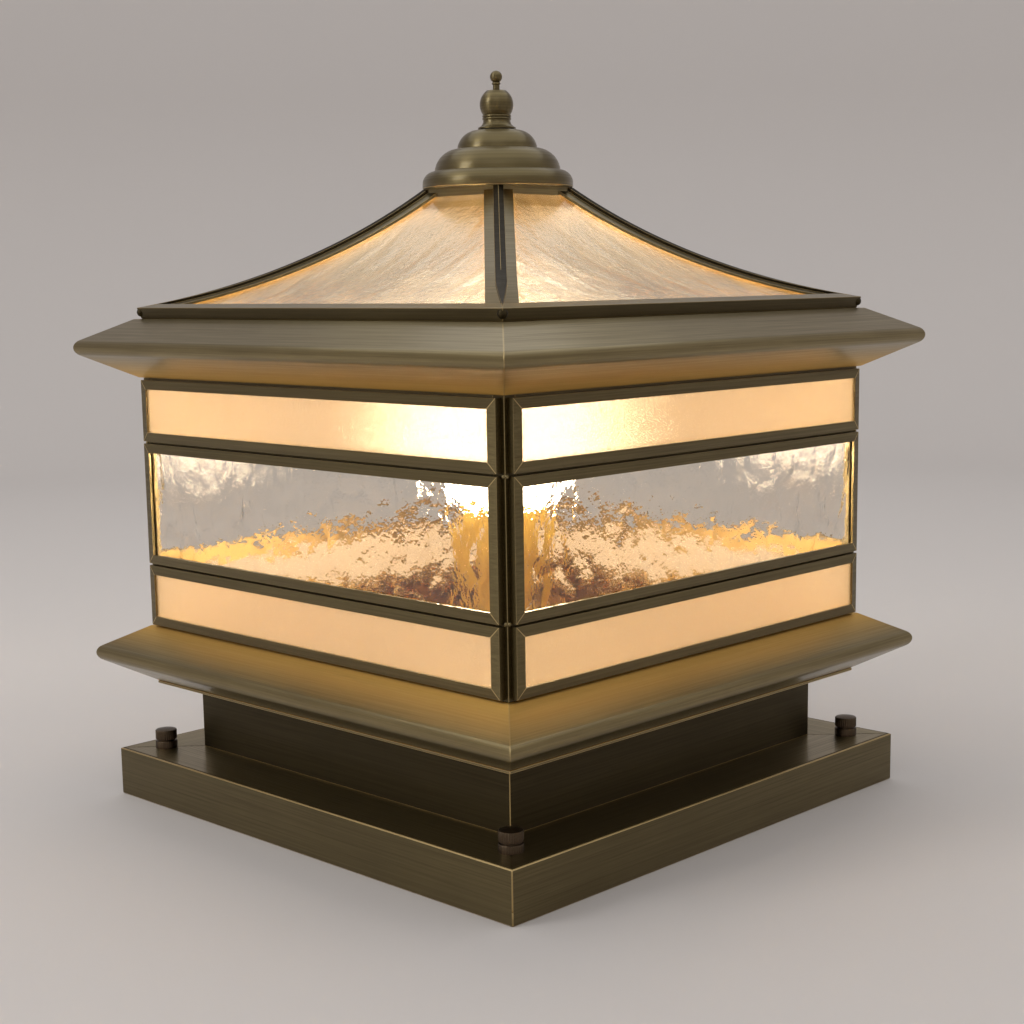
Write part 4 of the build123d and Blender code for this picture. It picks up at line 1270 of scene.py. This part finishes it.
class LANTERN_OT_roof_panes(bpy.types.Operator):
    """Rolls the four curved roof panes with their waves"""

    bl_idname = "lantern.roof_panes"
    bl_label = "Roof panes"

    def execute(self, context):
        noise.seed_set(GLASS_SEED)
        low, high = ROOF_BOXES["roof_pane_right"]
        gap = ROOF_PANE_GAP / 2 * DIAGONAL
        columns = round((high.x - low.x) / sizes().glass_step)
        rows = round((high.y - low.y) / sizes().glass_step / ROOF_ROW_STEP)
        for quarter, side in enumerate(SIDES):
            shift = Vector((quarter * WAVE_SHIFT, 0, 0))

            def surface(across, along, outer):
                x = low.x + across * (high.x - low.x)
                y = (2 * along - 1) * (x - gap)
                depth = ROOF_PANE_DEPTH + (0 if outer else ROOF_PANE_THICKNESS)
                z = max(roof_height(x, depth), low.z)
                if outer:
                    z -= self.wave(x, y, shift)
                return Vector((x, y, max(z, low.z)))

            shape = rolled_sheet(columns, rows, surface)
            self.mark_glass(shape, shift)
            turn_to_side(shape, quarter - 1)
            place_piece(shape, f"wavy_roof_pane_{side}", "amber", f"roof_pane_{side}")
        return {"FINISHED"}

    def mark_glass(self, shape, shift):
        """Marks the painted edge glow, beside the hips and under the cap, and the streaks of the painted
        glow.
        """
        edge_glow = shape.verts.layers.float.new("edge_glow")
        streaks = shape.verts.layers.float.new("streaks")
        flange = HIP_WIDTH / 2 * DIAGONAL
        for vert in shape.verts:
            x, y, z = vert.co
            beside = max(0.0, x - abs(y) - flange)
            below = max(0.0, x - CAP_RIM[0])
            line = math.exp(-beside / GLOW_LINE)
            edge = GLOW_EDGE[0] * math.exp(-beside / GLOW_EDGE[1])
            top = GLOW_TOP[0] * math.exp(-below / GLOW_TOP[1])
            vert[edge_glow] = min(1.0, max(line, edge, top))
            vert[streaks] = self.wave(x, y, shift) / sizes().wave_depth

    def wave(self, x, y, shift):
        """Depth of the waves at a place: long folds that wander down the slope."""
        pitch = sizes().wave_pitch
        warp_scale, warp_strength = WAVE_WARP
        fold_scale, fold_strength = WAVE_FOLDS
        spot = Vector((x / pitch * WAVE_STRETCH, y / pitch, 0)) + shift
        warp = noise.noise_vector(spot * warp_scale) * warp_strength
        folds = noise.noise(spot + warp) + fold_strength * noise.noise(spot * fold_scale + warp)
        return sizes().wave_depth * (0.5 + 0.5 * folds)


class LANTERN_OT_cap(bpy.types.Operator):
    """Spins the stepped cap, and finishes the crown under it"""

    bl_idname = "lantern.cap"
    bl_label = "Cap and crown"

    def execute(self, context):
        low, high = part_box("cap")
        shoulder = math.hypot(CAP_RIM[0] - CAP_MIDDLE[0], CAP_MIDDLE[1] - CAP_RIM[1])
        path = [(CAP_RIM[0], 0), CAP_RIM]
        path += arc(CAP_RIM, CAP_MIDDLE, shoulder * CAP_RIM_BULGE)
        path += arc(CAP_MIDDLE, CAP_TOP, CAP_MIDDLE_BULGE)
        path += arc(CAP_TOP, CAP_SEAT, CAP_TOP_BULGE)
        path += [(ROD_HOLE, CAP_SEAT[1])]
        shape = turned([(radius, low.z + z) for radius, z in thickened(path, CAP_SHEET)])
        rim = edges_at(sharp_edges(shape), lambda place: place.z < low.z + WELD)
        soften(shape, rim, sizes().edge)
        stain_and_shade(shape, CAP_STAIN)
        place_piece(shape, "spun_cap", "spun", "cap")
        dress_node("crown", "sheet")
        return {"FINISHED"}


class LANTERN_OT_finial(bpy.types.Operator):
    """Turns the finial, and finishes the seal under it"""

    bl_idname = "lantern.finial"
    bl_label = "Finial and seal"

    def execute(self, context):
        low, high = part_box("finial")
        waist, waist_z = FINIAL_WAIST
        stem, stem_length = FINIAL_STEM
        bore, bore_depth = FINIAL_BORE
        bead = waist_z + FINIAL_BEAD
        ball_low = bead + FINIAL_BEAD
        ball_drop = math.sqrt(FINIAL_BALL**2 - waist**2)
        ball_rise = math.sqrt(FINIAL_BALL**2 - FINIAL_BALL_TOP**2)
        ball_middle = ball_low + ball_drop
        ball_high = ball_middle + ball_rise
        stem_high = ball_high + stem_length
        tip_low = stem_high + FINIAL_STEM_BEAD
        tip_drop = math.sqrt(FINIAL_TIP**2 - stem**2)
        outline = [(0, bore_depth), (bore, bore_depth), (bore, 0), (FINIAL_FOOT[0], 0), FINIAL_FOOT]
        outline += arc(FINIAL_FOOT, FINIAL_WAIST, -FINIAL_COVE)
        outline += arc(FINIAL_WAIST, (waist, bead), FINIAL_BEAD_BULGE, BEAD_POINTS)
        outline += arc((waist, bead), (waist, ball_low), FINIAL_BEAD_BULGE, BEAD_POINTS)
        outline += ball_points(ball_middle, FINIAL_BALL, -ball_drop, ball_rise, BALL_POINTS)[1:]
        outline += [(stem, ball_high), (stem, stem_high)]
        outline += arc((stem, stem_high), (stem, tip_low), FINIAL_STEM_BULGE, BEAD_POINTS)
        outline += ball_points(tip_low + tip_drop, FINIAL_TIP, -tip_drop, FINIAL_TIP, TIP_POINTS)[1:]
        shape = turned([(radius, low.z + z) for radius, z in outline], closed=False)
        stain_and_shade(shape, CAP_STAIN)
        place_piece(shape, "turned_finial", "spun", "finial")
        dress_node("finial_washer", "rubber")
        return {"FINISHED"}


class LANTERN_OT_lamp(bpy.types.Operator):
    """Makes the lamp: its lit globe, brass housing, screw cap and contact"""

    bl_idname = "lantern.lamp"
    bl_label = "Lamp"

    def execute(self, context):
        low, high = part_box("lamp_globe")
        middle = high.z - GLOBE_RADIUS
        walls = []
        for radius in (GLOBE_RADIUS - GLOBE_WALL, GLOBE_RADIUS):
            walls.append(ball_points(middle, radius, low.z - middle, radius, GLOBE_POINTS))
        shape = turned(walls[0][::-1] + walls[1], closed=False)
        place_piece(shape, "lit_globe", "diffuser", "lamp_globe")
        low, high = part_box("lamp_housing")
        rim = math.sqrt(GLOBE_RADIUS**2 - (high.z - middle) ** 2)
        outline = [(0, low.z), (HOUSING_FOOT, low.z)]
        outline += arc((HOUSING_FOOT, low.z), (rim, high.z), HOUSING_BULGE, BALL_POINTS)
        shape = turned([*outline, (0, high.z)], closed=False)
        place_piece(shape, "spun_housing", "housing", "lamp_housing")
        low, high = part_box("lamp_cap")
        shape = shaft(low, high, LAMP_THREAD_RINGS)
        below, above = LAMP_THREAD_ENDS
        cut_thread(shape, low.z + below, high.z - above, LAMP_THREAD_PITCH, LAMP_THREAD_DEPTH)
        place_piece(shape, "threaded_lamp_cap", "nickel", "lamp_cap")
        dress_node("lamp_contact", "contact")
        return {"FINISHED"}


class LANTERN_OT_lampholder(bpy.types.Operator):
    """Makes the porcelain lampholder, its bracket, the terminal block, the grommet and the screws"""

    bl_idname = "lantern.lampholder"
    bl_label = "Lampholder and wiring"

    def execute(self, context):
        self.make_holder()
        self.make_bracket()
        self.make_terminal_block()
        self.make_grommet()
        self.make_screws()
        dress_node("holder_shell", "contact")
        dress_node("supply_leads", "sheath")
        return {"FINISHED"}

    def make_holder(self):
        """A glazed holder with a band at each end and a blind bore."""
        low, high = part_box("lampholder")
        radius = high.x
        waist = radius - HOLDER_RELIEF
        band_low = low.z + HOLDER_BAND
        band_high = high.z - HOLDER_BAND
        outline = [(0, low.z), (radius, low.z), (radius, band_low), (waist, band_low + HOLDER_RELIEF)]
        outline += [(waist, band_high - HOLDER_RELIEF), (radius, band_high), (radius, high.z)]
        outline += [(HOLDER_BORE, high.z), (HOLDER_BORE, HOLDER_FLOOR), (0, HOLDER_FLOOR)]
        shape = turned(outline, closed=False)
        soften_folds(shape, HOLDER_EDGE, segments=3)
        place_piece(shape, "porcelain_holder", "porcelain", "lampholder")

    def make_bracket(self):
        """A strip bent into a bridge with two feet."""
        low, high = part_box("holder_bracket")
        leg = high.x - BRACKET_FOOT
        foot = low.z + LIGHT_SHEET
        path = [(high.x, foot), (leg, foot), (leg, high.z), (-leg, high.z), (-leg, foot), (low.x, foot)]
        section = thickened(path, LIGHT_SHEET)
        shape = skinned([[(x, y, z) for x, z in section] for y in (low.y, high.y)])
        soften_folds(shape)
        place_flat(shape, "bent_bracket", "zinc", "holder_bracket")

    def make_terminal_block(self):
        """A moulded base with a tab at each end and four towers for the clamping screws."""
        low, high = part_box("terminal_block")
        half = high.x - TERMINAL_TAB[0]
        wall, rise = TOWER
        well, well_depth = TOWER_WELL
        deck = high.z - rise
        well_floor = high.z - well_depth
        outline = [(0, deck), (wall, deck), (wall, high.z)]
        outline += [(well, high.z), (well, well_floor), (0, well_floor)]
        shape = turned(outline, False, SMALL_STEPS)
        rows = (low.y + TOWER_SETBACK, high.y - TOWER_SETBACK)
        repeat_at(shape, [Vector((x, y, 0)) for x in (-TERMINAL_PITCH / 2, TERMINAL_PITCH / 2) for y in rows])
        add_block(shape, (-half, low.y, low.z), (half, high.y, deck))
        add_block(shape, low, (high.x, high.y, low.z + TERMINAL_TAB[1]))
        soften_folds(shape)
        place_flat(shape, "moulded_terminal_block", "nylon", "terminal_block")

    def make_grommet(self):
        """A rubber ring with a rounded lip on each side of the deck."""
        low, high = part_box("cable_grommet")
        lip = high.x
        groove = lip - GROMMET_LIP
        bore = groove - GROMMET_WALL
        lip_low = low.z + GROMMET_LIP
        lip_high = high.z - GROMMET_LIP
        outline = [(bore, low.z), (lip, low.z), (lip, lip_low), (groove, lip_low)]
        outline += [(groove, lip_high), (lip, lip_high), (lip, high.z), (bore, high.z)]
        shape = turned(outline, steps=GROMMET_STEPS)
        soften_folds(shape, GROMMET_EDGE, segments=4)
        place_piece(shape, "moulded_grommet", "rubber", "cable_grommet")

    def make_screws(self):
        """Slotted pan-head screws of the bracket, the terminal block and the crossbar."""
        bracket_low, bracket_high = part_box("holder_bracket")
        block_low, block_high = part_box("terminal_block")
        bar_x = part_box("crossbar")[1].x - BAR_SCREW_INSET
        foot_x = bracket_high.x - BRACKET_FOOT / 2
        tab_x = block_high.x - TERMINAL_TAB[0] / 2
        tab_y = (block_low.y + block_high.y) / 2
        places = []
        for side in (-1, 1):
            places.append(Vector((side * foot_x, 0, bracket_low.z + LIGHT_SHEET)))
            places.append(Vector((side * tab_x, tab_y, block_low.z + TERMINAL_TAB[1])))
            places.append(Vector((side * bar_x, 0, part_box("upper_eave")[1].z)))
        radius, depth = SCREW
        head, rise = SCREW_HEAD
        slot, slot_depth = SCREW_SLOT
        outline = [(0, -depth), (radius, -depth), (radius, 0), (head, 0), (head, SCREW_EDGE)]
        outline += arc((head, SCREW_EDGE), (0, rise), SCREW_DOME_BULGE, DOME_POINTS)
        shape = turned(outline, False, SCREW_STEPS)
        for vert in shape.verts:
            if vert.co.z > SCREW_EDGE + WELD and abs(vert.co.y) < slot / 2:
                vert.co.z -= slot_depth
        repeat_at(shape, places)
        place_piece(shape, "slotted_screws", "zinc", "small_screws")


class LANTERN_OT_tie_rod(bpy.types.Operator):
    """Makes the crossbar, and the threaded rod with its nuts that holds the roof down"""

    bl_idname = "lantern.tie_rod"
    bl_label = "Crossbar and tie rod"

    def execute(self, context):
        low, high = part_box("crossbar")
        shape = start_shape()
        add_block(shape, low, high)
        ends = [edge for edge in shape.edges if (edge.verts[0].co.xy - edge.verts[1].co.xy).length < WELD]
        soften(shape, ends, BAR_END, segments=6)
        soften_folds(shape)
        place_flat(shape, "rounded_crossbar", "zinc", "crossbar")
        self.make_rod()
        self.make_nuts(low.z - ROD_NUT_HEIGHT, high.z)
        return {"FINISHED"}

    def make_rod(self):
        """A rod threaded from end to end."""
        low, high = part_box("tie_rod")
        shape = shaft(low, high, round((high.z - low.z) / ROD_THREAD_PITCH) * ROD_RINGS_A_TURN, SMALL_STEPS)
        cut_thread(shape, low.z, high.z, ROD_THREAD_PITCH, ROD_THREAD_DEPTH)
        place_piece(shape, "threaded_rod", "zinc", "tie_rod")

    def make_nuts(self, *seats):
        """Chamfered hexagon nuts."""
        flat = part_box("rod_nuts")[1].y
        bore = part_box("tie_rod")[1].x
        shape = start_shape()
        for seat in seats:
            top = seat + ROD_NUT_HEIGHT
            heights = (seat, seat, seat + ROD_NUT_CHAMFER, top - ROD_NUT_CHAMFER, top, top)
            limits = (bore, flat, 2 * flat, 2 * flat, flat, bore)
            skin_rings(shape, [self.hexagon(flat, limit, z) for z, limit in zip(heights, limits)], True)
        place_piece(shape, "hexagon_nuts", "zinc", "rod_nuts")

    def hexagon(self, flat, limit, z):
        """Points round a hexagon that is turned down to a limit."""
        corner = math.pi / 3
        ring = []
        for step in range(HEXAGON_STEPS):
            angle = math.tau * step / HEXAGON_STEPS
            from_flat = (angle + corner) % corner - corner / 2
            radius = min(flat / math.cos(from_flat), limit)
            ring.append((radius * math.cos(angle), radius * math.sin(angle), z))
        return ring


class LANTERN_OT_stage(bpy.types.Operator):
    """Sets the pale floor and backdrop, the soft lights and the camera"""

    bl_idname = "lantern.stage"
    bl_label = "Stage"

    def execute(self, context):
        self.make_backdrop()
        self.make_world(context)
        for light in LIGHTS:
            self.make_light(*light)
        self.make_camera(context)
        context.scene.view_settings.view_transform = "Standard"
        return {"FINISHED"}

    def make_backdrop(self):
        """A round sweep: floor, a wide fillet and a wall."""
        start = (SWEEP_REACH - SWEEP_FILLET, 0)
        bulge = SWEEP_FILLET * (1 - math.cos(math.pi / 4))
        outline = [(0, 0), start]
        outline += arc(start, (SWEEP_REACH, SWEEP_FILLET), bulge, TIP_POINTS)
        shape = turned([*outline, (SWEEP_REACH, SWEEP_HEIGHT)], closed=False)
        mesh = bpy.data.meshes.new("studio_sweep")
        shape.to_mesh(mesh)
        shape.free()
        mesh.shade_smooth()
        mesh.materials.append(finish("sweep"))
        sweep = bpy.data.objects.new("studio_sweep", mesh)
        bpy.context.scene.collection.objects.link(sweep)

    def make_world(self, context):
        world = bpy.data.worlds.new("Studio air")
        world.use_nodes = True
        tree = world.node_tree
        tree.nodes.clear()
        air = add_node(tree, "Background", {"Color": linear("#D9D6D6"), "Strength": 0.3})
        add_node(tree, "OutputWorld", {"Surface": air})
        context.scene.world = world

    def make_light(self, name, place, target, width, height, power):
        data = bpy.data.lights.new(name, "AREA")
        data.shape = "RECTANGLE"
        data.size = width
        data.size_y = height
        data.energy = power
        light = bpy.data.objects.new(name, data)
        light.location = place
        aim = Vector(target) - Vector(place)
        light.rotation_euler = aim.to_track_quat("-Z", "Y").to_euler()
        bpy.context.scene.collection.objects.link(light)

    def make_camera(self, context):
        level = math.cos(CAMERA_ELEVATION)
        across = math.sin(CAMERA_AZIMUTH) * level
        back = Vector((across, -math.cos(CAMERA_AZIMUTH) * level, math.sin(CAMERA_ELEVATION)))
        right = (-back).cross(Vector((0, 0, 1))).normalized()
        up = back.cross(right)
        turned_right = right * math.cos(CAMERA_ROLL) + up * math.sin(CAMERA_ROLL)
        turned_up = up * math.cos(CAMERA_ROLL) - right * math.sin(CAMERA_ROLL)
        data = bpy.data.cameras.new("Photo camera")
        data.sensor_width = CAMERA_SENSOR
        data.lens = CAMERA_LENS
        data.shift_y = CAMERA_SHIFT
        camera = bpy.data.objects.new("Photo camera", data)
        stand = Matrix.Translation(CAMERA_TARGET + back * CAMERA_DISTANCE)
        camera.matrix_world = stand @ Matrix((turned_right, turned_up, back)).transposed().to_4x4()
        context.scene.collection.objects.link(camera)
        context.scene.camera = camera


OPERATORS = (
    LANTERN_OT_base_tray,
    LANTERN_OT_anchors,
    LANTERN_OT_neck,
    LANTERN_OT_eaves,
    LANTERN_OT_posts,
    LANTERN_OT_frames,
    LANTERN_OT_opal_panes,
    LANTERN_OT_hammered_panes,
    LANTERN_OT_roof_rim,
    LANTERN_OT_roof_hips,
    LANTERN_OT_roof_panes,
    LANTERN_OT_cap,
    LANTERN_OT_finial,
    LANTERN_OT_lamp,
    LANTERN_OT_lampholder,
    LANTERN_OT_tie_rod,
    LANTERN_OT_stage,
)


class LANTERN_PT_sidebar(bpy.types.Panel):
    """Lists the lantern's pieces, sizes and colours"""

    bl_label = "Pillar lantern"
    bl_idname = "LANTERN_PT_sidebar"
    bl_space_type = "VIEW_3D"
    bl_region_type = "UI"
    bl_category = "Lantern"

    def draw(self, context):
        for kind in OPERATORS:
            self.layout.operator(kind.bl_idname)
        for group in (context.scene.lantern_sizes, context.scene.lantern_colours):
            box = self.layout.box()
            for name in group.__annotations__:
                box.prop(group, name)


CLASSES = (LanternSizes, LanternColours, *OPERATORS, LANTERN_PT_sidebar)


def register():
    for kind in CLASSES:
        bpy.utils.register_class(kind)
    bpy.types.Scene.lantern_sizes = PointerProperty(type=LanternSizes)
    bpy.types.Scene.lantern_colours = PointerProperty(type=LanternColours)


def unregister():
    del bpy.types.Scene.lantern_colours
    del bpy.types.Scene.lantern_sizes
    for kind in reversed(CLASSES):
        bpy.utils.unregister_class(kind)


def main():
    register()
    for kind in OPERATORS:
        group, name = kind.bl_idname.split(".")
        getattr(getattr(bpy.ops, group), name)()


if __name__ == "__main__":
    main()
